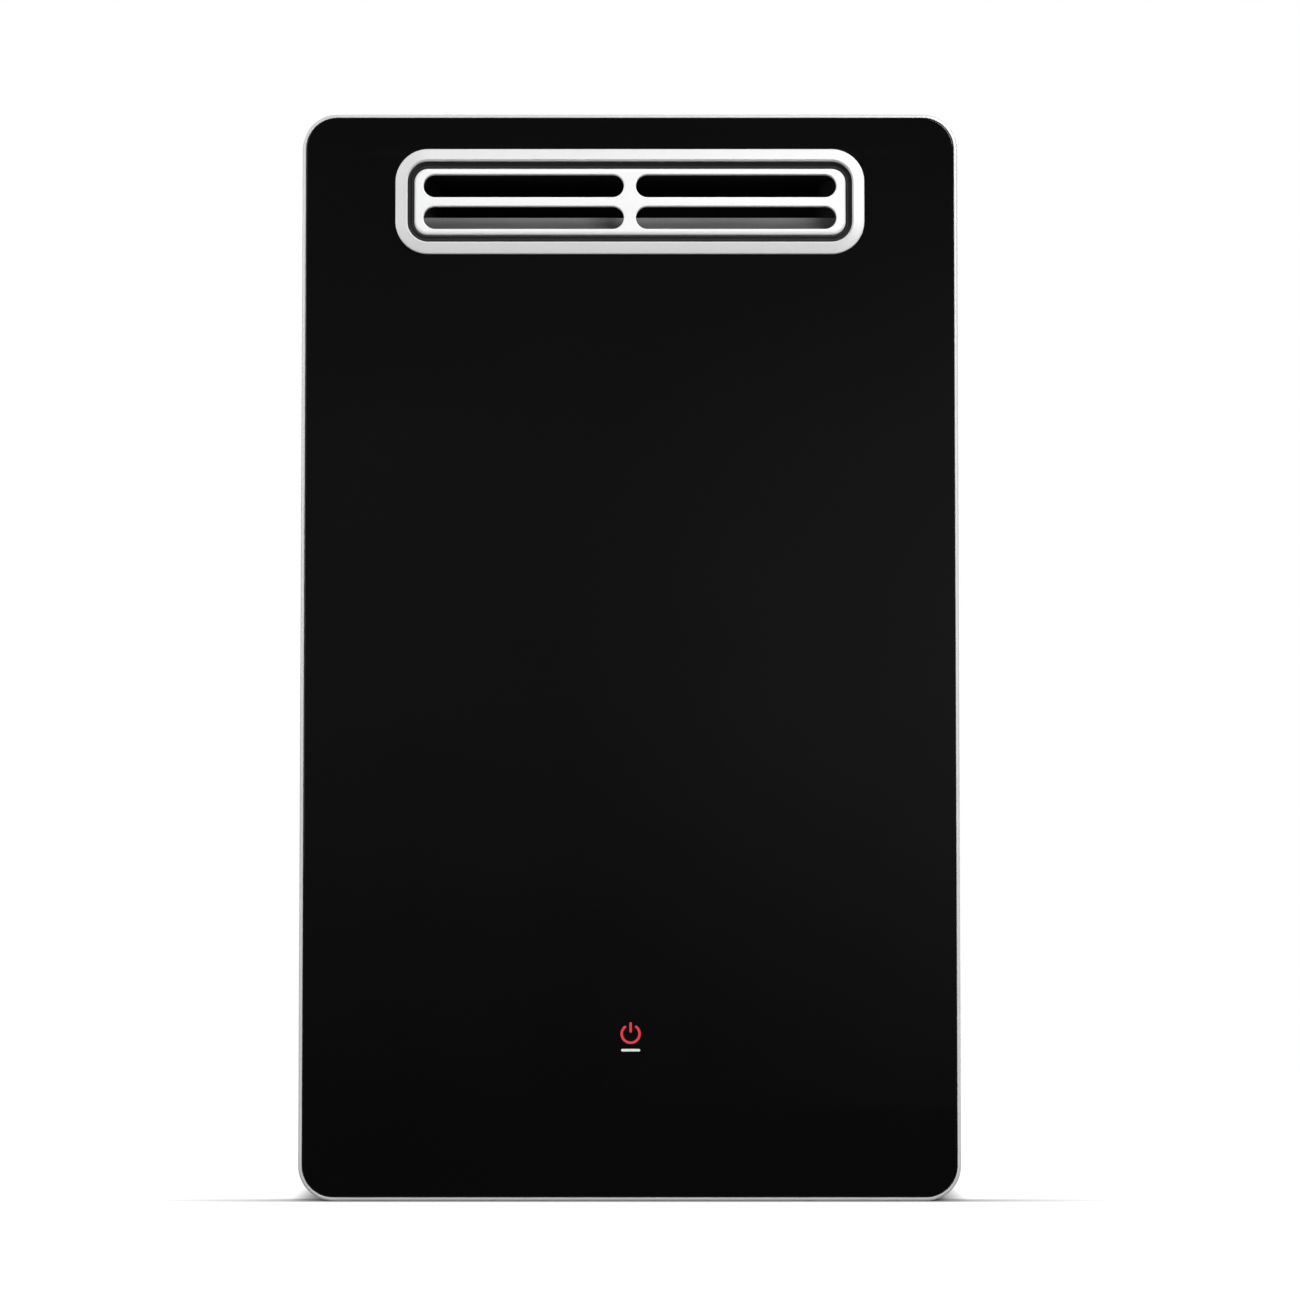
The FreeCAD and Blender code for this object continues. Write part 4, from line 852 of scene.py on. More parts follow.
def seal_loop(share, y):
    """An outline between the bezel's opening and the louvre plate."""
    size = [outside + (inside - outside) * share for outside, inside in zip(SEAL_OUTSIDE, SEAL_INSIDE)]
    return rounded_loop(*size, y, 0.0, GRILLE_Z)


make_piece("seal_ring", [skin([seal_loop(share, y) for share, y in seal_section], True)],
           "black_rubber", "cover", "grille_seal", crisp=50.0)
print(face_counts("seal_ring"))

# %% [markdown]
# ## The power key
# A touch key lies behind the glass. It shows as a thin red ring with a gap and a tick at the top, over a
# short white bar. Each mark is a very thin piece on the glass that glows a little, drawn as a ribbon along
# a line.

# %% Power key
KEY_X, KEY_Z, STROKE = 0.6, 98.9, 1.5
RING_RADIUS, BAR_HALF, BAR_DROP = 5.3, 4.9, 9.7
MARK_FRONT, MARK_BACK = GLASS_FRONT - 0.04, GLASS_FRONT + 0.02


def ribbon(line):
    """A flat ribbon along (x, z) points, with rounded ends, just proud of the glass."""
    spine = [Vector(point) for point in line]
    left, right = [], []
    for k, point in enumerate(spine):
        along = (spine[min(k + 1, len(spine) - 1)] - spine[max(k - 1, 0)]).normalized()
        across = Vector((-along.y, along.x)) * STROKE / 2
        left.append(point + across)
        right.append(point - across)
    caps = []
    for end, toward in ((spine[-1], spine[-1] - spine[-2]), (spine[0], spine[0] - spine[1])):
        angle = math.atan2(toward.y, toward.x)
        turns = [angle + math.radians(d) for d in (60, 30, 0, -30, -60)]
        caps.append([end + Vector((math.cos(t), math.sin(t))) * STROKE / 2 for t in turns])
    outline = left + caps[0] + right[::-1] + caps[1]
    return closed([[(p.x, y, p.y) for p in outline] for y in (MARK_FRONT, MARK_BACK)])


ring_turns = [math.radians(d) for d in range(38, 323, 6)]
ring_line = [(KEY_X + RING_RADIUS * math.sin(t), KEY_Z + RING_RADIUS * math.cos(t)) for t in ring_turns]
tick_line = [(KEY_X, KEY_Z + rise) for rise in (1.4, 3.8, 6.2)]
bar_line = [(KEY_X + step, KEY_Z - BAR_DROP) for step in (-BAR_HALF, 0.0, BAR_HALF)]
make_piece("power_sign", [ribbon(ring_line), ribbon(tick_line)], "red_light", "cover")
make_piece("level_bar", [ribbon(bar_line)], "white_light", "cover")
print(face_counts("power_sign", "level_bar"))

# %% [markdown]
# ## The cover
# The whole front half is one deep-drawn steel cover. Its skin is a stack of outlines of the case: back
# edge, sides, the rounded shoulder under the silver frame, and the flat sheet behind the glass. The mouth
# below and the side notches that hook behind screws are faces left out, so the outlines get extra points at
# those cuts.

# %% Cuts in a stack of loops
LEVEL = 1e-6


def crossed(loop, at_x=(), at_z=()):
    """A loop with extra points where its straight runs cross the given places."""
    points = []
    for here, after in zip(loop, loop[1:] + loop[:1]):
        points.append(here)
        low_x, high_x = sorted((here[0], after[0]))
        low_z, high_z = sorted((here[2], after[2]))
        extra = [(x, here[1], here[2]) for x in at_x if high_z - low_z < LEVEL and low_x < x < high_x]
        extra += [(here[0], here[1], z) for z in at_z if high_x - low_x < LEVEL and low_z < z < high_z]
        points += sorted(extra, key=lambda p: abs(p[0] - here[0]) + abs(p[2] - here[2]))
    return points


def without(part, gone):
    """A part without the faces whose middle passes a test."""
    points, faces = part
    middles = [sum((Vector(points[k]) for k in face), Vector()) / len(face) for face in faces]
    return points, [face for face, middle in zip(faces, middles) if not gone(middle)]


print("points with two cuts:", len(crossed(case_loop(0.0, 0.0), (-170.0, 170.0))))

# %% Cover
NOTCHES, NOTCH_HALF, NOTCH_TIP_HALF = (90.0, 560.0), 3.0, 2.1
NOTCH_START, NOTCH_END = 59.1, 57.0
MOUTH_HALF, MOUTH_FRONT, FRONT_SHEET = 170.0, -61.0, -79.0
KEY_WINDOW, WINDOW_Z = (66.0, 56.0), 100.0
notch_edges = [z + step for z in NOTCHES
               for step in (-NOTCH_HALF, -NOTCH_TIP_HALF, NOTCH_TIP_HALF, NOTCH_HALF)]
cover_rows = [(0.15, 75.0), (0.0, 74.8), (0.0, NOTCH_START), (0.0, NOTCH_END), (0.0, MOUTH_FRONT),
              (0.0, -70.5), (0.12, -70.95), (0.45, -71.22), (0.9, SHOULDER), (2.3, SHOULDER),
              (2.3, -78.0), (2.45, -78.6), (2.85, -78.9), (3.4, FRONT_SHEET)]
cover_loops = [crossed(case_loop(inset, y), (-MOUTH_HALF, MOUTH_HALF), notch_edges)
               for inset, y in cover_rows]


def cover_gap(middle):
    """The mouth under the cover, and the notches with their narrower tips."""
    off_notch = min(abs(middle.z - z) for z in NOTCHES)
    in_notch = (off_notch < NOTCH_HALF and middle.y > NOTCH_START
                or off_notch < NOTCH_TIP_HALF and middle.y > NOTCH_END)
    in_mouth = middle.z < 1.0 and abs(middle.x) < MOUTH_HALF and middle.y > MOUTH_FRONT
    return in_mouth or abs(middle.x) > 196.0 and in_notch


windows = [hole_loop(0.0, FRONT_SHEET), rounded_loop(*KEY_WINDOW, 0.5, FRONT_SHEET, 0.0, WINDOW_Z, 3)]
make_piece("case_cover", [without(skin(cover_loops), cover_gap), filled(cover_loops[-1], windows)],
           "case_paint", "cover", "front_cover", sheet=1.2)
print(face_counts("case_cover"))

# %% [markdown]
# ## The back panel
# The back is a shallow tray of zinc-coated sheet. Its bend has a radius, and two long ribs are pressed
# outwards so that it doesn't drum. A rib is a stack of narrow outlines, so its ends slope as softly as its
# sides. Below, the tray has no flange and is notched, where the pipes come down.

# %% Ribs and bends of the back panel
BACK, TRAY_BEND, TRAY_EDGE = 78.0, 1.8, 44.0
PIPES_HALF, NO_FLANGE_HALF, LIP_LOW, LIP_HIGH = 100.0, 175.7, 40.5, 44.5
RIB, RIB_Z, RIB_X = (24.0, 390.0, 9.0), 330.0, 95.0
rib_section = [(0.0, 0.0), (0.6, 0.12), (1.3, 0.5), (2.9, 2.3), (3.6, 2.8), (4.4, 3.0)]
ribs = [[drawn_in(RIB, inset, BACK + rise, x, RIB_Z, 6) for inset, rise in rib_section]
        for x in (-RIB_X, RIB_X)]
tray_bend = [(TRAY_BEND + inset, BACK - depth) for inset, depth in reversed(quarter_round(TRAY_BEND, 4))]
tray_loops = [crossed(case_loop(inset, y), (-PIPES_HALF, PIPES_HALF))
              for inset, y in [(TRAY_BEND, TRAY_EDGE)] + tray_bend]
print("rib:", len(ribs[0]), "loops of", len(ribs[0][0]), "points")

# %% Back panel
back_outline = []
for here in tray_loops[-1]:
    if abs(here[0]) == PIPES_HALF and here[2] < 10.0:
        lip = [here, (here[0], BACK, LIP_LOW), (here[0] * 0.96, BACK, LIP_HIGH)]
        back_outline += lip if here[0] < 0 else reversed(lip)
    else:
        back_outline.append(here)


def tray_gap(middle):
    """The lower edge of the tray: no flange there, and nothing at all at the notch."""
    on_flange = abs(middle.x) < NO_FLANGE_HALF and middle.y < tray_bend[0][1]
    return middle.z < 5.0 and (abs(middle.x) < PIPES_HALF or on_flange)


make_piece("rear_tray",
           [without(skin(tray_loops), tray_gap), filled(back_outline, [rib[0] for rib in ribs]),
            *[merged(skin(rib), filled(rib[-1])) for rib in ribs]],
           "galvanised", stands_for="back_panel", sheet=1.2)
screws("cover_screws", [pan_head(facing(side * 194.95, 60.2, z, (side, 0, 0)), 2.6, 1.7)
                        for side in (-1, 1) for z in NOTCHES])
print(face_counts("rear_tray"))

# %% [markdown]
# ## Wall brackets
# Each bracket is a strip that lies on the wall at one end and on the back panel at the other. It is drawn
# flat first, with its slots, and then bent: each point's place along the strip gives its depth and its
# height.

# %% Strip of a wall bracket
WALL_SLOT = (20.0, 6.4, 3.2)
BRACKET_BACK, BRACKET_FRONT, BRACKET_RUN, BRACKET_CORNER = 86.0, 79.6, 74.0, 6.0
bracket_path = [(BRACKET_BACK, 0.0), (BRACKET_BACK, 30.6), (85.75, 31.6), (85.2, 32.5), (80.4, 41.4),
                (79.8, 42.3), (BRACKET_FRONT, 43.3), (BRACKET_FRONT, BRACKET_RUN)]


def bracket_depth(run):
    """How far back the bent strip lies, at a run from its free edge."""
    for (y0, run0), (y1, run1) in zip(bracket_path, bracket_path[1:]):
        if run0 <= run <= run1:
            y = y0 + (y1 - y0) * (run - run0) / (run1 - run0)
    return y


def strip_corner(half, side_x, run, side_run):
    """A rounded corner (x, run), from the end of the strip to its side."""
    return [(side_x * (half - inset), run - side_run * depth)
            for inset, depth in quarter_round(BRACKET_CORNER)]


print("the strip steps", round(BRACKET_BACK - bracket_depth(BRACKET_RUN), 1), "mm")

# %% Wall brackets


def bracket(name, node, width, edge, toward, slot_x, slot_run):
    """A bracket from its free edge at a height, that grows up or down."""
    half = width / 2

    def bent(points):
        return [(x, bracket_depth(run), edge + toward * run) for x, run in points]

    wall_bend, case_bend = bracket_path[1][1], bracket_path[-2][1]
    wall_end = strip_corner(half, 1, 0.0, -1) + [(half, wall_bend), (-half, wall_bend)]
    wall_end += strip_corner(half, -1, 0.0, -1)[::-1]
    case_end = [(-half, case_bend), (half, case_bend)] + strip_corner(half, 1, BRACKET_RUN, 1)[::-1]
    case_end += strip_corner(half, -1, BRACKET_RUN, 1)
    slot_loops = [rounded_loop(*WALL_SLOT, 0.0, x, slot_run, 8) for x in (-slot_x, slot_x)]
    holes = [bent([(x, run) for x, _, run in loop]) for loop in slot_loops]
    bends = [bent([(-half, run), (half, run)]) for _, run in bracket_path[1:-1]]
    strip = [(tuple(low + high[::-1]), [(0, 1, 2, 3)]) for low, high in zip(bends, bends[1:])]
    make_piece(name, [filled(bent(wall_end), holes), filled(bent(case_end)), *strip], "galvanised",
               stands_for=node, sheet=1.6, middle=(0.0, 0.0, edge + toward * BRACKET_RUN / 2))
    screws(name + "_screws", [pan_head(facing(x, BRACKET_FRONT, edge + toward * 60.0, REARWARDS), 4.0, 2.2)
                              for x in (-half + 22.0, -half / 3, half / 3, half - 22.0)])


bracket("upper_hanger", "upper_wall_bracket", 260.0, 672.0, -1, 90.0, 11.0)
bracket("lower_hanger", "lower_wall_bracket", 180.0, 8.0, 1, 60.0, 16.0)
print(face_counts("upper_hanger", "lower_hanger"))

# %% [markdown]
# ## The bottom plate
# The floor of the case is a folded tray with round holes for the connections and the supply conduit, and
# seven air slots. It lies flat, so the upright loops of before are laid down first.

# %% Places of the connections
COLD_X, COLD_Y, COLD_BRANCH = 150.0, 44.0, 8.0
HOT_X, HOT_Y, HOT_BRANCH = -150.0, -24.0, 12.0
GAS_X, GAS_Y = -80.0, -42.0
CONDUIT_X, CONDUIT_Y = 150.0, -32.0
PIPE_HOLE, BRANCH_HOLE, CONDUIT_HOLE = 14.4, 12.4, 11.1
round_holes = [(COLD_X, COLD_Y, PIPE_HOLE), (HOT_X, HOT_Y, PIPE_HOLE), (GAS_X, GAS_Y, PIPE_HOLE),
               (COLD_X, COLD_BRANCH, BRANCH_HOLE), (HOT_X, HOT_BRANCH, BRANCH_HOLE),
               (CONDUIT_X, CONDUIT_Y, CONDUIT_HOLE)]
print("round holes:", len(round_holes))

# %% Bottom plate
TRAY, TRAY_Y, TRAY_LOW, TRAY_ROUND = (387.5, 145.8, 2.6), 3.9, 46.0, 2.0
AIR_SLOT = (7.0, 44.0, 3.5)
edge_rows = [(0.0, 58.0), (0.0, TRAY_LOW + TRAY_ROUND)]
edge_rows += [(inset, TRAY_LOW + depth) for inset, depth in reversed(quarter_round(TRAY_ROUND, 4))]
floor_loops = [laid(drawn_in(TRAY, inset, 0.0, 0.0, TRAY_Y, 4), z) for inset, z in edge_rows]
floor_holes = [laid(rounded_loop(2 * radius, 2 * radius, radius, 0.0, x, y, 10), TRAY_LOW)
               for x, y, radius in round_holes]
floor_holes += [laid(rounded_loop(*AIR_SLOT, 0.0, -48.0 + 16.0 * k, -38.0, 6), TRAY_LOW) for k in range(7)]
make_piece("floor_tray", [skin(floor_loops), filled(floor_loops[-1], floor_holes)], "galvanised",
           stands_for="bottom_plate", sheet=1.5, middle=(0.0, 4.0, 300.0))
valve_feet = [(-108, -24), (-56, -26), (-108, -60), (-56, -60)]
supply_feet = [(98, -58), (98, -22), (124, -58), (120, -22)]
wall_feet = [(-180, 62), (180, 66), (-60, 62), (60, 62)]
screws("floor_screws", [pan_head(facing(x, y, TRAY_LOW, DOWNWARDS), 3.4, 2.0)
                        for x, y in valve_feet + supply_feet + wall_feet])
print(face_counts("floor_tray"))

# %% [markdown]
# ## The flue hood
# Behind the louvre plate a steel hood turns the flue gas from upwards to forwards. It is folded from flat
# sheet, so each wall is one flat face here, and a bevel gives the folds their radius. The slots look
# straight into it, and its inside is painted near-black as shade: solidify can give the inner faces a
# finish of their own.

# %% Sizes of the hood
HALF, COLUMN_FRONT, COLUMN_REAR = 118.0, -44.0, 64.0
THROAT, THROAT_LOW, THROAT_HIGH = 131.1, 575.4, 618.6
MOUTH, FLARE_START, FLARE_END = -77.0, -63.0, -23.0
HOOD_LOW, HOOD_NECK, HOOD_TOP_REAR = 495.0, 554.0, 46.0
FLANGE = 9.0


def wall(*corners):
    """One flat wall of a folded sheet."""
    return list(corners), [tuple(range(len(corners)))]


def flare_half(y):
    """Half the hood's width at a depth, where it narrows from the throat to the column."""
    return THROAT - (THROAT - HALF) * (y - FLARE_START) / (FLARE_END - FLARE_START)


def foot_flange(z):
    """The flange turned out round the end of the column's sheet, at a height."""
    inner = [(HALF, COLUMN_FRONT), (HALF, COLUMN_REAR), (-HALF, COLUMN_REAR), (-HALF, COLUMN_FRONT)]
    outer = [(x + math.copysign(FLANGE, x), y + math.copysign(FLANGE, y)) for x, y in inner]
    return skin([[(x, y, z) for x, y in ring] for ring in (inner, outer)])


print("the ledge is", round(2 * flare_half(COLUMN_FRONT), 1), "mm wide")

# %% Flue hood


def level_wall(edge, z):
    """A level wall, from the right half of its outline."""
    left = [(-x, y) for x, y in reversed(edge)]
    return wall(*[(x, y, z) for x, y in left[-1:] + edge + left[:-1]])


def wide_wall(y0, z0, y1, z1):
    """A wall as wide as the column between two levels."""
    return wall((-HALF, y0, z0), (HALF, y0, z0), (HALF, y1, z1), (-HALF, y1, z1))


throat_edge = [(THROAT, MOUTH), (THROAT, FLARE_START)]
hood_walls = [level_wall(throat_edge + [(HALF, FLARE_END), (HALF, HOOD_TOP_REAR)], THROAT_HIGH),
              wide_wall(HOOD_TOP_REAR, THROAT_HIGH, COLUMN_REAR, HOOD_NECK),
              wide_wall(COLUMN_REAR, HOOD_NECK, COLUMN_REAR, HOOD_LOW),
              wide_wall(COLUMN_FRONT, HOOD_LOW, COLUMN_FRONT, THROAT_LOW),
              level_wall(throat_edge + [(flare_half(COLUMN_FRONT), COLUMN_FRONT), (HALF, COLUMN_FRONT)],
                         THROAT_LOW),
              foot_flange(HOOD_LOW)]
for side in (-1, 1):
    half, throat, ledge = side * HALF, side * THROAT, side * flare_half(COLUMN_FRONT)
    hood_walls += [
        wall((half, COLUMN_FRONT, HOOD_LOW), (half, COLUMN_REAR, HOOD_LOW), (half, COLUMN_REAR, HOOD_NECK),
             (half, HOOD_TOP_REAR, THROAT_HIGH), (half, FLARE_END, THROAT_HIGH),
             (half, FLARE_END, THROAT_LOW), (half, COLUMN_FRONT, THROAT_LOW)),
        wall((throat, FLARE_START, THROAT_LOW), (ledge, COLUMN_FRONT, THROAT_LOW),
             (half, FLARE_END, THROAT_LOW), (half, FLARE_END, THROAT_HIGH),
             (throat, FLARE_START, THROAT_HIGH)),
        wall((throat, MOUTH, THROAT_LOW), (throat, FLARE_START, THROAT_LOW),
             (throat, FLARE_START, THROAT_HIGH), (throat, MOUTH, THROAT_HIGH)),
        wall((half, COLUMN_FRONT, THROAT_LOW), (ledge, COLUMN_FRONT, THROAT_LOW),
             (half, FLARE_END, THROAT_LOW)),
    ]
make_piece("gas_hood", hood_walls, "stainless", stands_for="flue_hood", bend=1.6, sheet=1.0,
           middle=(0.0, 10.0, 560.0), inside="shade_dark_steel")
print(face_counts("gas_hood"))

# %% [markdown]
# ## The baffle
# The baffle is the grey plate that shows in the lower slots. It rises behind them and keeps the rain out.
# It is one strip of sheet: each point of its side view is drawn out to the width of the hood there.

# %% Baffle
BAFFLE_GAP = 1.2
baffle_path = [(-75.0, 576.5), (-61.0, 589.6), (-60.2, 590.3), (-59.2, 590.9), (-57.8, 591.2),
               (-56.6, 591.3), (-37.6, 591.3), (-36.4, 591.1), (-35.6, 590.4), (-35.3, 589.2),
               (-35.3, 586.0)]
baffle_rows = []
for y, z in baffle_path:
    reach = min(THROAT, flare_half(y)) - BAFFLE_GAP
    baffle_rows.append([(x, y, z) for x in (-reach, 0.0, reach)])
baffle_strips = [([*low, *high], [(0, 1, 4, 3), (1, 2, 5, 4)])
                 for low, high in zip(baffle_rows, baffle_rows[1:])]
# Its lower slope is painted darker than its top: painted shade behind the louvre plate.
make_piece("rain_baffle", baffle_strips, "smoked_zinc", stands_for="flue_baffle",
           sheet=0.9, middle=(0.0, -30.0, 500.0))
print(face_counts("rain_baffle"))

# %% [markdown]
# ## Pipe threads
# The three connections have tapered pipe threads, 14 to the inch. A screw modifier could make one, but its
# ends are hard to shape. Here the lathe's rows climb in small steps and each row's radius is a wave that is
# shifted a little round the pipe. Fading the wave at both ends gives the lead-in and the run-out of a real
# die.

# %% Threads
THREAD_PITCH, THREAD_DEPTH, THREAD_TAPER = 1.814, 1.15, 0.031
LEAD_IN, RUN_OUT, END_CHAMFER = 1.6, 3.4, 0.9


def thread_rows(low, high, radius, steps=7):
    """Rows of an outside pipe thread between two heights."""
    count = int((high - low) / THREAD_PITCH * steps)
    rows = []
    for row in range(count + 1):
        z = low + (high - low) * row / count
        full = max(0.0, min(1.0, (z - low) / LEAD_IN, (high - z) / RUN_OUT))
        crest = radius - THREAD_TAPER * (high - z)

        def at(turn, z=z, full=full, crest=crest):
            wave = abs(2 * ((z / THREAD_PITCH - turn / (2 * math.pi)) % 1.0) - 1)
            wave = max(0.0, min(1.0, 1.35 * wave - 0.15))
            return crest - THREAD_DEPTH * (1 - wave) * full - (END_CHAMFER if z - low < 0.01 else 0.0)
        rows.append((z, at))
    return rows


def nipple_rows(bore, top):
    """From the end of the bore at the top, down through the nipple and up its outside."""
    return [(top, bore), (8.9, bore), (8.0, bore + 0.8), (8.0, 11.2), *thread_rows(8.05, 30.0, 13.2),
            (30.8, 12.4), (31.6, 12.4), (32.2, 13.2), (47.5, 13.2)]


print("a thread has", len(thread_rows(8.05, 30.0, 13.2)), "rows")

# %% [markdown]
# ## Brass bodies of the water connections
# Hot and cold water come in through brass bodies on the bottom plate. Each is one casting: the threaded
# end, a round body with a hexagon for the wrench, a closed branch beside it and a web between the two. The
# cold one has a strainer in its branch and the hot one a relief valve.

# %% Water connections
BORE, TRAY_TOP, BLOCK_TOP = 7.5, 47.5, 79.5


def water_connection(x, y, branch_y):
    """The parts of one brass body."""
    body = nipple_rows(BORE, BLOCK_TOP) + [(TRAY_TOP, 16.2), (48.3, 17.0), (63.0, 17.0), (63.6, 16.4),
                                           (65.4, 16.4)]
    body += hexagon(65.6, BLOCK_TOP, 33.6)[:-1] + [(BLOCK_TOP, 15.6), (BLOCK_TOP, BORE)]
    branch = [(TRAY_TOP, 12.6), (48.1, 13.0), (66.5, 13.0), (68.6, 12.4), (70.3, 10.8), (71.5, 8.0)]
    web = soft_block(x - 6.8, x + 6.8, *sorted((y, branch_y)), 53.6, 68.4, 2.6, 3)
    return [turned(body, upright(x, y), closed_ends=False), turned(branch, upright(x, branch_y)), web]


make_piece("cold_inlet_body", water_connection(COLD_X, COLD_Y, COLD_BRANCH), "brass",
           stands_for="cold_water_inlet")
make_piece("hot_outlet_body", water_connection(HOT_X, HOT_Y, HOT_BRANCH), "brass",
           stands_for="hot_water_outlet")
plug = [(TRAY_TOP, 11.0), (46.6, 11.0), (46.5, 9.6), *reversed(hexagon(36.0, 46.4, 19.8)),
        (36.0, 6.0), (34.4, 5.6), (33.6, 4.8)]
make_piece("strainer_plug", [turned(plug, upright(COLD_X, COLD_BRANCH))], "black_plastic",
           stands_for="inlet_filter_plug")
print(face_counts("cold_inlet_body", "hot_outlet_body"))

# %% [markdown]
# ## Relief valve
# Under the hot water branch hangs the relief and drain valve: a hexagon for the wrench, a turned barrel
# and two ears that hold the lever's pin. The ears keep the slot of the solid, because the lever turns
# in it.

# %% Relief valve
PIN_Y, PIN_Z, PIN_SLOT = 25.0, 28.0, 2.25
EAR_INSIDE, EAR_OUTSIDE, EAR_TOP, EAR_ROOT = 4.8, 6.8, 32.4, 12.5
barrel = [(29.5, 5.0), (18.1, 5.0), (17.5, 5.7), (17.5, 7.6), (18.2, 8.3), (21.0, 8.3), (21.5, 7.7),
          (24.0, 7.7), (24.5, 8.3), (36.8, 8.3), (37.5, 8.1), *hexagon(37.5, TRAY_TOP, 20.8)]
slot_turns = [math.radians(t) for t in range(0, -181, -20)]
ear_outline = [(EAR_ROOT, 23.6), (27.6, 23.6), (29.0, 24.4), (29.4, 25.6), (29.4, EAR_TOP),
               (PIN_Y + PIN_SLOT, EAR_TOP),
               *[(PIN_Y + PIN_SLOT * math.cos(t), PIN_Z + PIN_SLOT * math.sin(t)) for t in slot_turns],
               (PIN_Y - PIN_SLOT, EAR_TOP), (EAR_ROOT, EAR_TOP)]
ears = [closed([[(HOT_X + side * reach, y, z) for y, z in ear_outline]
                for reach in (EAR_INSIDE, EAR_OUTSIDE)]) for side in (-1, 1)]
make_piece("relief_body", [turned(barrel, upright(HOT_X, HOT_BRANCH), closed_ends=False), *ears],
           "brass", stands_for="relief_valve")
print(face_counts("relief_body"))

# %% [markdown]
# ## Gas valve
# The gas valve is a die casting with rounded edges. It has a threaded inlet below, a seal face all round
# near its top, and raised bosses where its lid is screwed on.

# %% Gas valve
VALVE_LOW, VALVE_TOP = 62.0, 112.0
valve_inlet = nipple_rows(BORE, 61.5) + [(TRAY_TOP, 16.4), (48.2, 17.0), (57.5, 17.0), (62.1, 18.6)]
valve_parts = [turned(valve_inlet, upright(GAS_X, GAS_Y), closed_ends=False)]
valve_tiers = ((0.0, VALVE_LOW, 99.4, 2.4, 3), (0.6, 99.8, 105.2, 1.0, 2), (0.0, 105.6, VALVE_TOP, 1.6, 2))
valve_parts += [block_at(GAS_X, 35.4 + lip, GAS_Y, 23.4 + lip, low, high, edge, steps)
                for lip, low, high, edge, steps in valve_tiers]
valve_parts += [turned([(0.0, radius), (1.6, radius), (2.0, radius - 0.4)],
                       facing(GAS_X + x, GAS_Y - 22.0, z, FORWARDS))
                for x, z, radius in ((17.0, 81.0, 11.0), (-20.0, 74.0, 6.5))]
valve_parts += [block_at(GAS_X + x, 1.2, GAS_Y - 23.0, 1.0, 84.0, 99.0, 0.5, 1) for x in (-24.0, -12.0, 0.0)]
make_piece("gas_valve_casting", valve_parts, "cast_aluminium", stands_for="gas_valve_body", weld=False)
print(face_counts("gas_valve_casting"))

# %% [markdown]
# ## The column's sleeves
# Under the hood stand three sleeves of thin sheet, one on the other, screwed together at flanges. A sleeve
# is a stack of outlines of the column, and its windows are faces left out.

# %% Sleeves
BOX_LOW, CHAMBER_LOW, EXCHANGER_LOW, HOOD_SEAM = 185.0, 290.0, 430.0, 494.0
COLUMN = (2 * HALF, COLUMN_REAR - COLUMN_FRONT, 3.0)
COLUMN_Y = (COLUMN_FRONT + COLUMN_REAR) / 2


def column_loop(grow, z, at_x=()):
    """The outline of the column at a height, grown by grow."""
    return crossed(laid(drawn_in(COLUMN, -grow, 0.0, 0.0, COLUMN_Y, 4), z), at_x)


def sleeve(rows, at_x=()):
    """A skin through rows of (grow, height)."""
    return skin([column_loop(grow, z, at_x) for grow, z in rows])


def flange_below(z):
    """Rows of the flange at the lower end of a sleeve."""
    return [(FLANGE, z + 1.0), (1.8, z + 1.0), (0.5, z + 1.4), (0.0, z + 2.8)]


def flange_above(z):
    """Rows of the flange at the upper end of a sleeve."""
    return [(grow, 2 * z - height) for grow, height in reversed(flange_below(z))]


def in_front(middle, x, half_x, z, half_z):
    """Whether a face of the front wall lies in a window."""
    return middle.y < COLUMN_FRONT + 1 and abs(middle.x - x) < half_x and abs(middle.z - z) < half_z


print("the column is", COLUMN[0], "mm wide")

# %% [markdown]
# ## The burner's tray
# The lowest sleeve is a zinc-coated box round the burner bars. A wide window in its front takes the
# gas manifold, and a square hole in its floor takes the fan's outlet.

# %% Burner tray
MANIFOLD_HALF, MANIFOLD_Z, MANIFOLD_HIGH = 107.5, 208.0, 9.0
FAN_HOLE, FAN_HOLE_X, FAN_HOLE_Y = (49.0, 49.0, 1.0), -2.5, 10.0
window_sides = (-MANIFOLD_HALF, MANIFOLD_HALF)
tray_rows = [(-2.0, BOX_LOW), (-0.6, BOX_LOW + 0.5), (0.0, BOX_LOW + 2.0),
             (0.0, MANIFOLD_Z - MANIFOLD_HIGH), (0.0, MANIFOLD_Z + MANIFOLD_HIGH), *flange_above(CHAMBER_LOW)]
tray_walls = without(sleeve(tray_rows, window_sides),
                     lambda m: in_front(m, 0.0, MANIFOLD_HALF, MANIFOLD_Z, MANIFOLD_HIGH))
fan_hole = laid(rounded_loop(*FAN_HOLE, 0.0, FAN_HOLE_X, FAN_HOLE_Y, 3), BOX_LOW)
tray_floor = filled(column_loop(-2.0, BOX_LOW, window_sides), [fan_hole])
make_piece("burner_tray", [tray_walls, tray_floor], "galvanised", stands_for="burner_box", sheet=1.0,
           middle=(0.0, 10.0, 240.0))
print(face_counts("burner_tray"))

# %% [markdown]
# ## Chamber and jacket
# Both are copper. The chamber has windows for the electrodes and the sight glass, and the jacket of the
# exchanger has two beads all round that stiffen it.

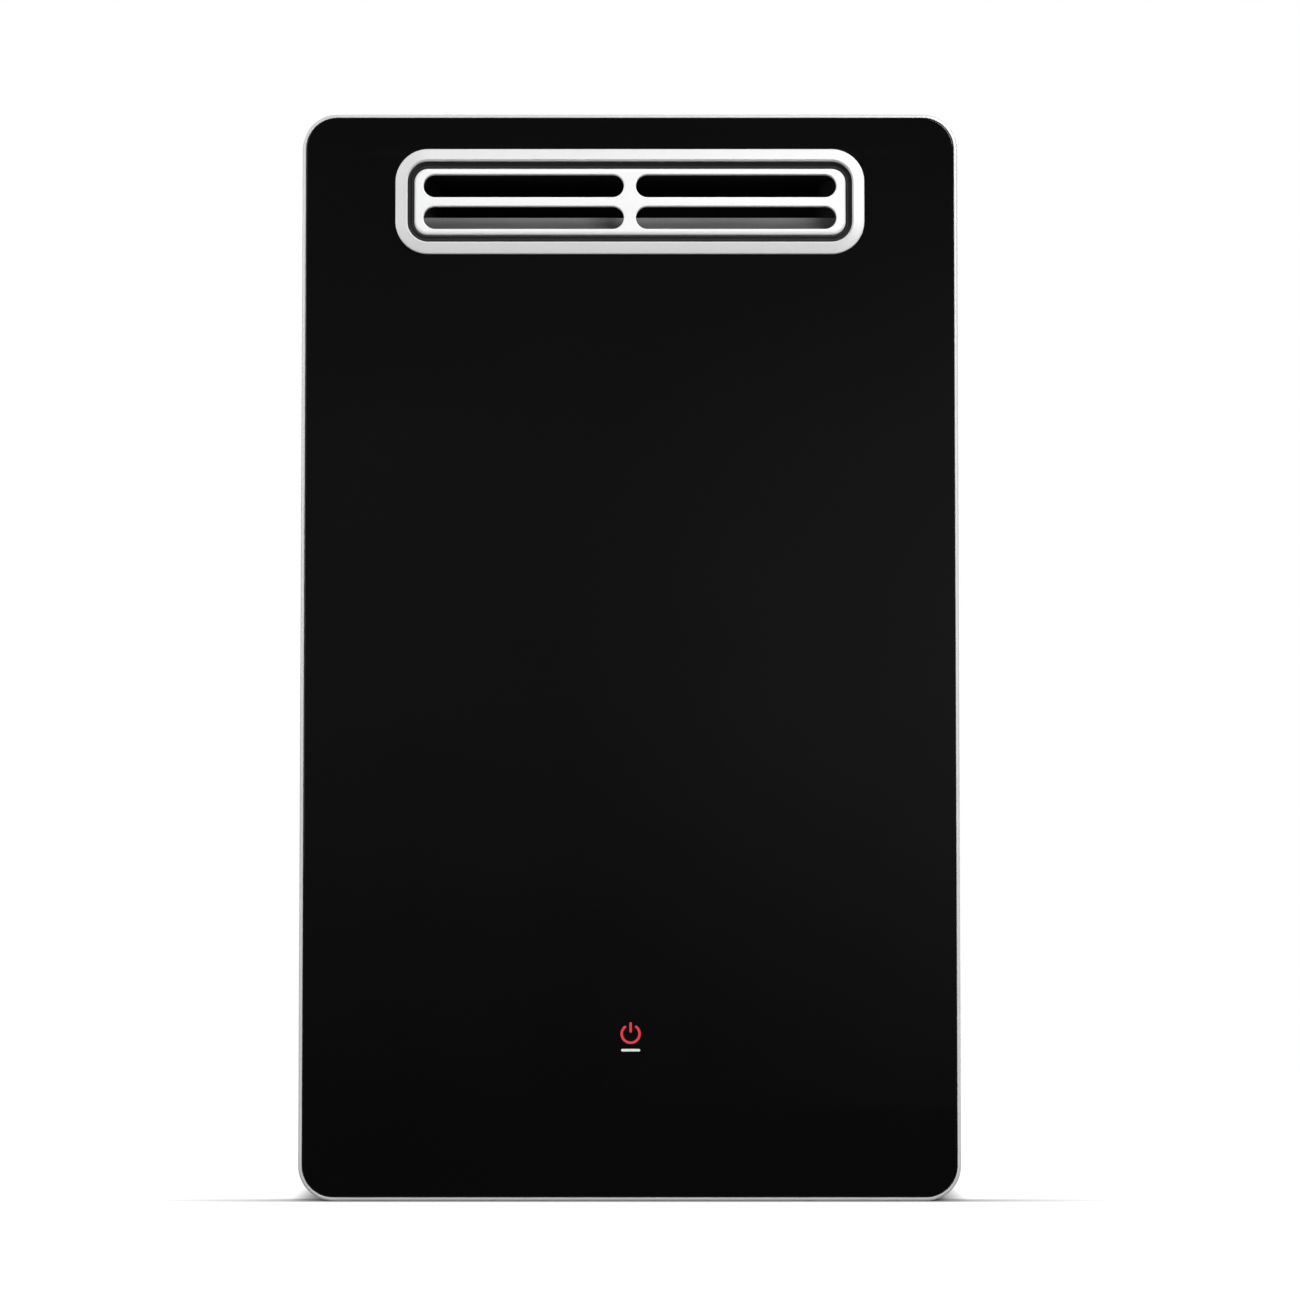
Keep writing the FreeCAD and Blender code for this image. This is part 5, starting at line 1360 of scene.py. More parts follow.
# %% Chamber and jacket
ELECTRODES, ELECTRODE_Z, ELECTRODE_HALF = (-55.0, -25.0, 5.0), 306.0, 4.7
SIGHT_X, SIGHT_Z, SIGHT_HALF = 45.0, 326.0, 9.0
chamber_cuts = [x + step for x in ELECTRODES for step in (-ELECTRODE_HALF, ELECTRODE_HALF)]
chamber_cuts += [SIGHT_X - SIGHT_HALF, SIGHT_X + SIGHT_HALF]
chamber_rows = flange_below(CHAMBER_LOW)
chamber_rows += [(0.0, z + side * half) for z, half in ((ELECTRODE_Z, ELECTRODE_HALF), (SIGHT_Z, SIGHT_HALF))
                 for side in (-1, 1)]
chamber_rows += flange_above(EXCHANGER_LOW)


def chamber_gap(middle):
    """The windows of the electrodes and of the sight glass."""
    holes = [in_front(middle, x, ELECTRODE_HALF, ELECTRODE_Z, ELECTRODE_HALF) for x in ELECTRODES]
    return any(holes) or in_front(middle, SIGHT_X, SIGHT_HALF, SIGHT_Z, SIGHT_HALF)


make_piece("chamber_sleeve", [without(sleeve(chamber_rows, chamber_cuts), chamber_gap)], "copper",
           stands_for="combustion_chamber", sheet=1.0, middle=(0.0, 10.0, 360.0))
bead = [(0.0, -3.0), (0.35, -2.2), (1.0, -1.2), (1.2, 0.0), (1.0, 1.2), (0.35, 2.2), (0.0, 3.0)]
beads = [(grow, z + rise) for z in (439.0, 485.0) for grow, rise in bead]
make_piece("exchanger_jacket", [sleeve(flange_below(EXCHANGER_LOW) + beads + flange_above(HOOD_SEAM))],
           "copper", stands_for="exchanger_shell", sheet=1.0, middle=(0.0, 10.0, 462.0))
print(face_counts("chamber_sleeve", "exchanger_jacket"))

# %% [markdown]
# ## Screws along the seams
# Sheet-metal screws hold each pair of flanges: five along the front and two on each side.

# %% Screws along the seams
SCREW_OUT = 5.4
seam_places = [(x, COLUMN_FRONT - SCREW_OUT) for x in (-104.0, -52.0, 0.0, 52.0, 104.0)]
seam_places += [(side * (HALF + SCREW_OUT), y) for side in (-1, 1) for y in (-26.0, 46.0)]
seam_heads = [washer_head(upright(x, y, seam + 1.0), 4.4, 2.8)
              for seam in (CHAMBER_LOW, EXCHANGER_LOW, HOOD_SEAM) for x, y in seam_places]
screws("seam_screws", seam_heads)
print("seam screws:", len(seam_heads))

# %% [markdown]
# ## Gas manifold and pipe
# An aluminium bar feeds the nine burner bars through one brass nozzle each. Hexagon plugs close its ends,
# and a foot at each end holds it to the burner's casing. The gas pipe stands on the valve and has a nut at
# each end.

# %% Manifold, nozzles, gas pipe
MANIFOLD_Y, MANIFOLD_END, MANIFOLD_LOW = -59.0, 113.5, 199.0
burner_places = range(-100, 101, 25)
manifold_parts = [block_at(0.0, MANIFOLD_END, MANIFOLD_Y, 7.0, MANIFOLD_LOW, 217.0, 2.6, 3)]
for side in (-1, 1):
    end = side * MANIFOLD_END
    manifold_parts.append(turned(hexagon(0.0, 4.5, 12.0, 6, 0.8),
                                 facing(end, MANIFOLD_Y, MANIFOLD_Z, (side, 0, 0))))
    manifold_parts.append(block_at(end, 4.5, -49.0, 5.0, 201.0, 215.0, 0.9))
pipe_socket = [(0.0, 9.0), (0.6, 9.6), (2.4, 9.6), (3.0, 9.0)]
manifold_parts.append(turned(pipe_socket, upright(GAS_X, MANIFOLD_Y, 197.4)))
make_piece("manifold_bar", manifold_parts, "cast_aluminium", stands_for="gas_manifold", weld=False)
nozzle = hexagon(0.2, 3.4, 7.0, 6, 0.5) + [(3.6, 2.6), (5.4, 2.2), (5.9, 1.4)]
make_piece("nozzle_row", [turned(nozzle, facing(x, -52.0, MANIFOLD_Z, REARWARDS), 36) for x in burner_places],
           "brass", stands_for="gas_nozzles")
pipe_rows = [(VALVE_TOP, 6.8), *hexagon(112.2, 123.0, 15.6, 6, 1.0), (123.2, 6.0), (125.0, 5.6),
             (186.0, 5.6), (187.6, 6.0), *hexagon(187.8, 197.0, 15.6, 6, 1.0), (197.4, 6.8)]
make_piece("gas_line", [turned(pipe_rows, upright(GAS_X, MANIFOLD_Y))], "cast_aluminium",
           stands_for="gas_pipe")
print(face_counts("manifold_bar", "nozzle_row"))

# %% [markdown]
# ## Burner bars
# Each bar is pressed from two thin shells: a venturi throat low at the front, where gas and air go in, and
# a long crown with flame ports on top. The crown is a soft block with thin ribs across it, so the slots
# between them are real.

# %% Burner bars
BAR_Y = 10.0
bell = [(0.0, 7.4), (0.8, 7.0), (3.0, 5.9), (8.0, 5.0), (16.0, 4.9), (30.0, 5.6), (58.0, 6.6)]
bar_parts = []
for x in burner_places:
    bar_parts.append(turned(bell, facing(x, -42.8, MANIFOLD_Z, REARWARDS), 20, closed_ends=False))
    bar_parts.append(block_at(x, 6.0, BAR_Y, 36.0, 199.5, 269.0, 2.4))
    bar_parts.append(block_at(x, 5.2, BAR_Y, 52.0, 266.0, 283.0, 1.6))
    bar_parts += [block_at(x, 7.3, y, 1.2, 269.0, 285.8, 0.5, 1) for y in range(-38, 62, 12)]
make_piece("burner_row", bar_parts, "stainless", stands_for="burner_bars", weld=False)
print(face_counts("burner_row"))

# %% [markdown]
# ## Spark electrodes
# Three ceramic bodies hold the two spark electrodes and the flame rod. Their collars press a stamped plate
# on the chamber, and that plate carries them all.

# %% Spark electrodes
CHAMBER_FACE, ELECTRODE_FACE = -44.1, -45.0
ceramic = [(0.0, 2.9), (0.5, 3.6), (3.0, 3.9), (3.4, 3.2), (4.6, 3.2), (5.0, 3.9), (7.4, 4.0), (8.4, 5.5),
           (9.0, 5.9), (12.4, 5.9), (12.9, 5.5), (13.0, 4.1), (25.2, 4.0), (26.0, 3.2)]
rod = [(0.0, 0.7), (0.5, 1.2), (51.4, 1.2), (52.0, 0.6)]


def upright_plate(outline, holes, front, back):
    """A flat upright plate with holes, where each outline is (width, height, corner, x, z)."""
    stacks = [[rounded_loop(width, height, corner, y, x, z, 6) for y in (front, back)]
              for width, height, corner, x, z in (outline, *holes)]
    return pierced(stacks[0], stacks[1:])


make_piece("spark_ceramics", [turned(ceramic, facing(x, -58.0, ELECTRODE_Z, REARWARDS), 24)
                              for x in ELECTRODES], "ceramic", stands_for="electrode_insulators")
make_piece("spark_rods", [turned(rod, facing(x, -64.0, ELECTRODE_Z, REARWARDS), 12) for x in ELECTRODES],
           "stainless", stands_for="electrode_rods")
make_piece("electrode_plate", [upright_plate((78.0, 17.0, 4.0, ELECTRODES[1], ELECTRODE_Z),
                                             [(9.0, 9.0, 4.4, x, ELECTRODE_Z) for x in ELECTRODES],
                                             ELECTRODE_FACE, CHAMBER_FACE)], "bright_steel")
print(face_counts("spark_ceramics", "electrode_plate"))

# %% [markdown]
# ## Sight glass and igniter
# Beside the electrodes is a mica window in a steel frame. The igniter is a moulded box with two sockets
# for the high-voltage leads.

# %% Sight glass and igniter
SIGHT_FRAME = -46.0
make_piece("sight_mica", [upright_plate((24.0, 24.0, 2.0, SIGHT_X, SIGHT_Z), [], -44.9, CHAMBER_FACE)],
           "mica", stands_for="sight_pane")
make_piece("sight_frame", [upright_plate((30.0, 30.0, 4.0, SIGHT_X, SIGHT_Z),
                                         [(18.0, 18.0, 8.8, SIGHT_X, SIGHT_Z)],
                                         SIGHT_FRAME, ELECTRODE_FACE)], "bright_steel")
small_heads = [pan_head(facing(x, SIGHT_FRAME, z, FORWARDS), 2.0, 1.2)
               for x, z in four_corners(SIGHT_X, SIGHT_Z, 11.6, 11.6)]
small_heads += [pan_head(facing(x, ELECTRODE_FACE, ELECTRODE_Z, FORWARDS), 2.6, 1.6) for x in (-40.0, -10.0)]
screws("front_screws", small_heads)
igniter_parts = [soft_block(-138.0, -118.8, -44.0, -4.0, 320.0, 355.0, 1.8, 3),
                 soft_block(-137.0, -118.1, -43.0, -5.0, 322.0, 324.0, 0.5, 1)]
socket = [(0.0, 3.4), (0.6, 3.8), (4.0, 3.2), (7.5, 2.6), (8.0, 2.0)]
igniter_parts += [turned(socket, facing(-128.0, -43.6, z, FORWARDS), 20) for z in (330.0, 345.0)]
make_piece("spark_box", igniter_parts, "black_plastic", stands_for="igniter", weld=False)
print(face_counts("sight_frame", "spark_box"))

# %% [markdown]
# ## Copper pipes and headers
# The headers are drawn copper tanks with soft edges. The pipes are hard copper tube with a nut at the
# valve, and with a bead and a brazed sleeve under the header, which are only steps of the lathe's profile.

# %% Headers
HEADER_Z, HEADER_OUT = 462.0, 134.0
cap = [(0.0, 9.6), (0.5, 10.0), (1.2, 9.4), (1.4, 7.0)]
header_parts = []
for side, arm_y in ((1, COLD_Y), (-1, HOT_Y)):
    tank = sorted((side * HALF, side * HEADER_OUT))
    arm = sorted((side * 125.0, side * 161.0))
    for (x0, x1), y, half_y, half_z in ((tank, 10.0, 45.0, 15.0), (arm, arm_y, 11.0, 11.0)):
        header_parts.append(soft_block(x0, x1, y - half_y, y + half_y, HEADER_Z - half_z, HEADER_Z + half_z,
                                       4.0, 3))
    header_parts += [turned(cap, facing(side * 133.4, y, HEADER_Z, (side, 0, 0)), 32)
                     for y in (-24.0, 10.0, 44.0) if y != arm_y]
make_piece("copper_headers", header_parts, "copper", stands_for="exchanger_headers", weld=False)
print(face_counts("copper_headers"))

# %% Pipes
PIPE, BEAD_LOW, VALVE_BLOCK_TOP = 7.5, 430.0, 150.5
pipe_end = [(BEAD_LOW + rise, PIPE + out) for rise, out in
            ((0.0, 0.0), (1.0, 0.6), (2.0, 0.9), (3.0, 0.6), (4.0, 0.0), (13.0, 0.0), (13.4, 1.2),
             (14.0, 1.5), (20.6, 1.5), (21.4, 1.1))]


def pipe(low, x, y):
    """A nut, the tube, and a bead and a sleeve below the header."""
    nut = [(low, 9.2), *hexagon(low + 0.2, low + 11.0, 20.0, 6, 1.2), (low + 11.2, 8.2), (low + 12.0, PIPE)]
    return turned(nut + pipe_end, upright(x, y))


make_piece("cold_riser", [pipe(VALVE_BLOCK_TOP, COLD_X, COLD_Y)], "copper", stands_for="cold_water_pipe")
make_piece("hot_riser", [pipe(BLOCK_TOP, HOT_X, HOT_Y)], "copper", stands_for="hot_water_pipe")
print(face_counts("cold_riser", "hot_riser"))

# %% [markdown]
# ## Flow sensor
# Cold water first turns the rotor of the flow sensor, a moulded body with an octagon at each end. The
# body is hollow here too, because the rotor moves inside it. A small pickup on its side counts the turns.

# %% Flow sensor
EIGHTH_TURN = Matrix.Rotation(math.radians(22.5), 4, "Z")
SENSOR_BORE, OCTAGON = 9.5, 30.0
sensor_rows = [(BLOCK_TOP, SENSOR_BORE), *hexagon(BLOCK_TOP, 87.0, OCTAGON, 8, 0.8), (87.4, 13.4),
               (88.4, 12.8), (103.6, 12.8), (104.6, 13.4), *hexagon(105.0, 112.5, OCTAGON, 8, 0.8),
               (112.5, SENSOR_BORE), (BLOCK_TOP, SENSOR_BORE)]
sensor_parts = [turned(sensor_rows, upright(COLD_X, COLD_Y) @ EIGHTH_TURN, closed_ends=False)]
for z in (79.7, 106.6):
    for side in (-1, 1):
        bearing = sorted((COLD_X + side * 2.4, COLD_X + side * 11.0))
        sensor_parts.append(soft_block(*bearing, COLD_Y - 2.6, COLD_Y + 2.6, z, z + 5.7, 0.5, 1))
make_piece("sensor_shell", sensor_parts, "grey_plastic", stands_for="flow_sensor_body", weld=False)
pickup_parts = [soft_block(165.0, 172.0, COLD_Y - 8.0, COLD_Y + 8.0, 86.0, 106.0, 1.3, 3),
                soft_block(170.0, 174.0, COLD_Y - 4.5, COLD_Y + 4.5, 91.0, 101.0, 0.8, 2)]
make_piece("sensor_pickup", pickup_parts, "black_plastic", stands_for="flow_pickup", weld=False)
print(face_counts("sensor_shell", "sensor_pickup"))

# %% [markdown]
# ## Water valve and its motor
# Then the water passes its valve, a brass block whose flap a small stepper motor turns. The block is a
# closed skin round its bore, because the flap moves inside. The motor is a turned can on a mounting plate.

# %% Water valve and its motor
block_rows = [(7.0, 112.5, 1.0), (17.3, 112.5, 4.0), (18.0, 113.2, 4.4), (18.0, 119.4, 4.4),
              (17.6, 120.0, 4.2), (16.6, 120.6, 4.0), (16.2, 122.0, 4.0), (16.2, 141.0, 4.0),
              (16.6, 142.4, 4.0), (17.6, 143.0, 4.2), (18.0, 143.6, 4.4), (18.0, 149.8, 4.4),
              (17.3, VALVE_BLOCK_TOP, 4.0), (7.0, VALVE_BLOCK_TOP, 1.0)]
valve_block = skin([laid(rounded_loop(2 * half, 2 * half, corner, 0.0, COLD_X, COLD_Y, 5), z)
                    for half, z, corner in block_rows], True)
make_piece("valve_block", [valve_block], "brass", stands_for="water_valve_body")
MOTOR_Y, MOTOR_Z, MOTOR_PLATE = 26.0, 131.5, 24.4
can = [(17.5, 3.4), (0.0, 3.4), (0.0, 12.4), (0.5, 12.9), (2.0, 12.9), (2.2, 12.3), (18.6, 12.3),
       (18.8, 12.9), (20.6, 12.9), (21.4, 12.4), (22.0, 8.0), (22.4, 5.4), (23.6, 5.2), (24.0, 4.6)]
motor_parts = [turned(can, facing(COLD_X, MOTOR_Y, MOTOR_Z, FORWARDS)),
               soft_block(COLD_X - 13.0, COLD_X + 13.0, MOTOR_PLATE, MOTOR_Y, 118.5, 144.5, 0.6, 2),
               block_at(COLD_X, 7.0, 14.0, 7.0, 142.0, 146.5, 1.0, 2)]
make_piece("valve_stepper", motor_parts, "steel_dark", stands_for="water_valve_motor", weld=False)
print(face_counts("valve_block", "valve_stepper"))

# %% Screws of the water valve
valve_heads = [pan_head(upright(x, y, VALVE_BLOCK_TOP), 2.4, 1.6)
               for x, y in four_corners(COLD_X, COLD_Y, 13, 13)]
valve_heads += [pan_head(facing(x, MOTOR_PLATE, z, FORWARDS), 1.6, 1.1)
                for x, z in four_corners(COLD_X, MOTOR_Z, 10.6, 10.6)]
valve_heads += [pan_head(facing(172.0, COLD_Y, z, RIGHTWARDS), 1.8, 1.0) for z in (88.4, 103.6)]
screws("valve_screws", valve_heads)
print("valve screws:", len(valve_heads))

# %% [markdown]
# ## Coils of the gas valve
# Each coil is a moulded bobbin in a steel yoke. Its plunger rises inside it, so the bore is modelled. The
# two flat pins on top take the wires.

# %% Coils
COIL_X, COIL_TOP, COIL_BORE = (-102.0, -58.0), 139.0, 4.8
bobbin_rows = [(COIL_BORE, 135.2, 4.7), (COIL_BORE, VALVE_TOP, 4.7)]
bobbin_rows += [(half, z, 4.0) for half, z in
                ((11.4, VALVE_TOP), (12.0, 112.6), (12.0, 114.8), (11.0, 115.6), (11.0, 133.0),
                 (12.0, 133.8), (12.0, 136.6), (11.6, 137.2))]


def bobbin(x):
    """One bobbin, from its bore round to its top, with two flat pins."""
    rows = [laid(rounded_loop(2 * half, 2 * half, corner, 0.0, x, GAS_Y, 5), z)
            for half, z, corner in bobbin_rows]
    pins = [soft_block(x + dx - 2.6, x + dx + 2.6, GAS_Y - 10.8, GAS_Y - 10.0, 137.0, 144.0, 0.3, 1)
            for dx in (-5.0, 5.0)]
    return [closed(rows), *pins]


def yoke(x):
    """The steel cheeks and the top plate of one coil, with its nut."""
    cheeks = [block_at(x + side * 12.4, 0.6, GAS_Y, 8.0, VALVE_TOP + 0.2, 138.6, 0.3, 1) for side in (-1, 1)]
    return [*cheeks, block_at(x, 13.0, GAS_Y, 8.0, 137.4, COIL_TOP, 0.4, 2),
            turned(hexagon(0.0, 2.6, 7.0, 6, 0.4), upright(x, GAS_Y, COIL_TOP), 24)]


make_piece("coil_bobbins", [part for x in COIL_X for part in bobbin(x)], "black_plastic",
           stands_for="valve_coils", weld=False)
make_piece("coil_yokes", [part for x in COIL_X for part in yoke(x)], "bright_steel")
print(face_counts("coil_bobbins", "coil_yokes"))

# %% [markdown]
# ## The fan's housing
# A scroll housing collects the air that the wheel throws outwards, and its radius grows along the way to
# the outlet. The outline is three quarter arcs and a straight outlet. It is pressed from two shells, whose
# joint shows as a thin seam all round, and the inlet is rolled into a bell.

# %% Outline of the scroll
FAN_X, FAN_Z, FAN_FRONT, FAN_REAR = 32.0, 112.0, -16.0, 36.0
INLET_RADIUS, SHAFT_HOLE, OUTLET_TOP = 34.5, 8.2, 184.2
scroll_arcs = ((34.0, 110.0, 50.5, 90.0), (30.0, 110.0, 54.5, 0.0), (30.0, 114.0, 58.5, -90.0))


def scroll_loop(inset, y, top=OUTLET_TOP):
    """The outline of the scroll in the upright plane at y."""
    points = []
    for x, z, radius, start in scroll_arcs:
        for step in range(13):
            turn = math.radians(start - 90.0 * step / 12)
            points.append((x + (radius - inset) * math.cos(turn), y, z + (radius - inset) * math.sin(turn)))
    left, right = -28.5 + inset, 23.5 - inset
    return points + [(left, y, 150.0), (left, y, top), (right, y, top), (right, y, 162.0)]


def round_the_fan(radius, degrees):
    """Places (x, z) on a circle round the fan's axis."""
    return [(FAN_X + radius * math.cos(math.radians(d)), FAN_Z + radius * math.sin(math.radians(d)))
            for d in degrees]


def fan_circle(radius, y):
    """A circle round the fan's axis."""
    return [(x, y, z) for x, z in round_the_fan(radius, range(0, 360, 8))]


print("the scroll's outline has", len(scroll_loop(0.0, 0.0)), "points")

# %% Scroll housing
shell_edge = quarter_round(3.0, 4)
scroll_rows = [scroll_loop(inset, FAN_FRONT + depth) for inset, depth in shell_edge]
scroll_rows += [scroll_loop(inset, FAN_REAR - depth) for inset, depth in reversed(shell_edge)]
inlet_bell = skin([fan_circle(radius, y) for radius, y in
                   ((INLET_RADIUS, FAN_FRONT), (33.9, -17.2), (32.8, -17.8), (31.4, -17.5),
                    (30.4, -16.4), (30.0, -14.6))])
make_piece("scroll_case",
           [without(skin(scroll_rows), lambda middle: middle.z > 184.0),
            filled(scroll_rows[0], [fan_circle(INLET_RADIUS, FAN_FRONT)]),
            filled(scroll_rows[-1], [fan_circle(SHAFT_HOLE, FAN_REAR)]), inlet_bell],
           "galvanised", stands_for="fan_housing", sheet=1.2, middle=(FAN_X, 10.0, FAN_Z))
seam_y = (FAN_FRONT + FAN_REAR) / 2
seam_section = ((0.4, -1.2), (-3.4, -1.2), (-3.8, -0.9), (-3.8, 0.9), (-3.4, 1.2), (0.4, 1.2))
seam_rows = [scroll_loop(inset, seam_y + y, OUTLET_TOP - 1.0) for inset, y in seam_section]
make_piece("scroll_seam", [without(skin(seam_rows, True), lambda middle: middle.z > 183.0)], "galvanised")
print(face_counts("scroll_case", "scroll_seam"))

# %% [markdown]
# ## Flange and screws of the fan
# The outlet ends in a square flange under the burner's tray. Three pan heads hold the inlet bell and four
# more, seen from below, hold the flange.

# %% Flange and screws of the fan
FLANGE_LOW, FLANGE_TOP = 183.5, 184.9
flange_rows = [laid(rounded_loop(65.0 - 2 * inset, 68.0 - 2 * inset, 4.0, 0.0, FAN_HOLE_X, FAN_HOLE_Y, 4), z)
               for inset, z in ((0.4, FLANGE_LOW), (0.0, 183.9), (0.0, FLANGE_TOP))]
flange_hole = [laid(rounded_loop(*FAN_HOLE, 0.0, FAN_HOLE_X, FAN_HOLE_Y, 4), z)
               for z in (FLANGE_LOW, FLANGE_TOP)]
make_piece("outlet_flange", [pierced(flange_rows, [flange_hole])], "galvanised")
fan_heads = [pan_head(facing(x, FAN_FRONT, z, FORWARDS), 2.4, 1.5)
             for x, z in round_the_fan(39.0, (10, 130, 250))]
fan_heads += [pan_head(facing(x, y, FLANGE_LOW, DOWNWARDS), 2.2, 1.4)
              for x, y in four_corners(FAN_HOLE_X, FAN_HOLE_Y, 29.5, 30.5)]
screws("fan_screws", fan_heads)
print("flange:", made_pieces["outlet_flange"], "screws:", len(fan_heads))

# %% [markdown]
# ## The fan's wheel and motor
# The wheel has forward-curved blades: each is a bent strip from the front ring to the rear disc. An array
# modifier could copy it, but here blades, ring and disc have to be one piece that turns together. The motor
# behind is a turned can.

# %% Blades
WHEEL_FRONT, WHEEL_REAR, BLADES = -11.0, 29.0, 28
BLADE_INSIDE, BLADE_OUTSIDE, BLADE_THICK, BLADE_SWEEP, BLADE_STEPS = 31.4, 41.2, 0.9, 0.19, 6


def blade(turn):
    """One forward-curved blade, its outline bent along an arc."""
    outline = []
    there = range(BLADE_STEPS + 1)
    for offset, order in ((0.0, there), (BLADE_THICK, reversed(there))):
        for k in order:
            share = k / BLADE_STEPS
            radius = BLADE_INSIDE + (BLADE_OUTSIDE - BLADE_INSIDE) * share
            angle = turn + BLADE_SWEEP * share ** 1.7 + offset / radius
            outline.append((FAN_X + radius * math.sin(angle), FAN_Z + radius * math.cos(angle)))
    return closed([[(x, y, z) for x, z in outline] for y in (WHEEL_FRONT + 1.6, WHEEL_REAR - 1.4)])


print("a blade has", len(blade(0.0)[1]), "faces")

# %% Wheel and motor
fan_axis = facing(FAN_X, 0.0, FAN_Z, REARWARDS)
front_ring = [(WHEEL_FRONT, 31.4), (WHEEL_FRONT, 41.4), (-10.4, 42.0), (-9.0, 42.0), (-8.5, 41.6),
              (-8.5, 31.4), (-9.4, 31.0), (WHEEL_FRONT, 31.4)]
rear_disc = [(15.0, 3.3), (15.0, 7.6), (15.6, 8.0), (24.6, 8.0), (25.4, 8.6), (26.0, 10.0), (27.2, 24.0),
             (27.4, 41.6), (27.8, 42.0), (28.6, 42.0), (WHEEL_REAR, 41.6), (WHEEL_REAR, 3.3), (15.0, 3.3)]
wheel_parts = [turned(rows, fan_axis, closed_ends=False) for rows in (front_ring, rear_disc)]
wheel_parts += [blade(2 * math.pi * k / BLADES) for k in range(BLADES)]
make_piece("fan_wheel", wheel_parts, "galvanised", "fan", "fan_impeller", weld=False)
motor_rows = [(18.0, 3.4), (0.0, 3.4), (0.0, 20.0), (0.8, 20.9), (3.0, 21.0), (3.3, 20.2), (17.0, 20.2),
              (17.3, 20.9), (19.4, 20.9), (22.4, 19.0), (23.6, 14.0), (24.2, 9.0), (24.8, 8.4), (25.0, 7.0)]
make_piece("motor_can", [turned(motor_rows, facing(FAN_X, FAN_REAR, FAN_Z, REARWARDS)),
                         soft_block(FAN_X - 8.0, FAN_X + 8.0, 40.0, 52.0, 131.0, 136.0, 1.0, 2)],
           "steel_dark", stands_for="fan_motor", weld=False)
print(face_counts("fan_wheel", "motor_can"))

# %% [markdown]
# ## Power supply
# The power supply is a potted block with a lid, a plug on top and cooling ribs on its front.

# %% Power supply
SUPPLY_X = 112.0
supply_parts = [block_at(SUPPLY_X, 24.0, -39.6, 25.6, TRAY_TOP, 103.6, 1.8, 3),
                block_at(SUPPLY_X, 23.5, -39.6, 25.2, 104.0, 107.5, 1.2, 3),
                block_at(SUPPLY_X, 12.0, -24.0, 6.0, 106.0, 112.0, 0.8, 2)]
supply_parts += [block_at(x, 0.9, -65.0, 1.0, 56.0, 98.0, 0.6, 2) for x in range(94, 131, 4)]
make_piece("supply_block", supply_parts, "grey_plastic", stands_for="power_supply", weld=False)
print(face_counts("supply_block"))

# %% [markdown]
# ## Control box
# The control unit is a white moulded box on two lugs. Its lid has slots over the board, and its sockets
# for the wires look down, so that no water drips in.

# %% Control box
BOX, BOX_X, BOX_Z, BOX_ROUND = (60.0, 200.0, 4.0), 158.0, 296.0, 2.0
LUG_PLACES, SOCKET_PLACES = (236.0, 356.0), (140.0, 158.0, 176.0)


def box_loop(inset, y):
    """The outline of the control box, drawn in by inset."""
    return drawn_in(BOX, inset, y, BOX_X, BOX_Z, 5)


tub_rows = [box_loop(0.0, -63.9)]
tub_rows += [box_loop(inset, -32.0 - depth) for inset, depth in reversed(quarter_round(BOX_ROUND, 4))]
make_piece("control_tub", [skin(tub_rows), filled(tub_rows[-1])], "white_plastic",
           stands_for="control_case", sheet=2.0, middle=(BOX_X, -50.0, BOX_Z))
lug_parts = [soft_block(118.2, 130.0, -38.0, -33.5, z - 6.0, z + 6.0, 0.9, 2) for z in LUG_PLACES]
lug_parts += [block_at(x, 6.5, -54.0, 4.0, 190.5, 197.0, 0.8, 2) for x in SOCKET_PLACES]
make_piece("control_lugs", lug_parts, "white_plastic")
print(face_counts("control_tub", "control_lugs"))

# %% Lid of the control box
LID_FRONT, LID_BACK = -66.0, -64.0
VENT, VENT_STEP, VENT_ROWS = (34.0, 3.0, 1.4), 6.0, 66.0
lid_rows = [box_loop(inset, LID_FRONT + depth) for inset, depth in quarter_round(1.2, 3)]
lid_rows.append(box_loop(0.0, LID_BACK))
vent_places = [BOX_Z + side * VENT_ROWS + k * VENT_STEP for side in (-1, 1) for k in range(-2, 3)]
vents = [[rounded_loop(*VENT, y, BOX_X, z, 4) for y in (LID_FRONT, LID_BACK)] for z in vent_places]
make_piece("control_cover", [pierced(lid_rows, vents)], "white_plastic", stands_for="control_lid")
screws("control_screws", [pan_head(facing(x, LID_FRONT, z, FORWARDS), 2.4, 1.4)
                          for x, z in four_corners(BOX_X, BOX_Z, 25.0, 95.0)])
print("lid:", made_pieces["control_cover"], "faces,", len(vents), "vents")

# %% [markdown]
# ## The cup of the touch key
# Behind the glass, a black cup covers the touch key's board. It is a drawn shell with a flange that is
# screwed to the cover's front sheet.

# %% Touch cup
CUP_FRONT, CUP_FLANGE, CUP_ROUND = -78.1, -76.2, 1.8
cup_steps = [(82.0, 72.0, CUP_FRONT), (82.0, 72.0, CUP_FLANGE), (67.0, 57.0, -75.8), (66.0, 56.0, -75.0)]
cup_steps += [(66.0 - 2 * inset, 56.0 - 2 * inset, -66.8 - depth)
              for inset, depth in reversed(quarter_round(CUP_ROUND, 4))]
cup_rows = [rounded_loop(width, height, 3.0, y, 0.0, WINDOW_Z, 4) for width, height, y in cup_steps]
make_piece("touch_cup", [skin(cup_rows), filled(cup_rows[-1])], "black_plastic", "cover", "touch_case",
           sheet=1.6, middle=(0.0, -77.5, WINDOW_Z))
screws("cup_screws", [pan_head(facing(x, CUP_FLANGE, z, REARWARDS), 2.2, 1.4)
                      for x, z in four_corners(0.0, WINDOW_Z, 37.0, 26.0)], "cover")
print(face_counts("touch_cup"))

# %% [markdown]
# ## The lever of the relief valve
# The lever is a stamped strip whose eye is rolled round the pin. It hangs down at rest, and lifting it opens
# the valve to drain the heater.

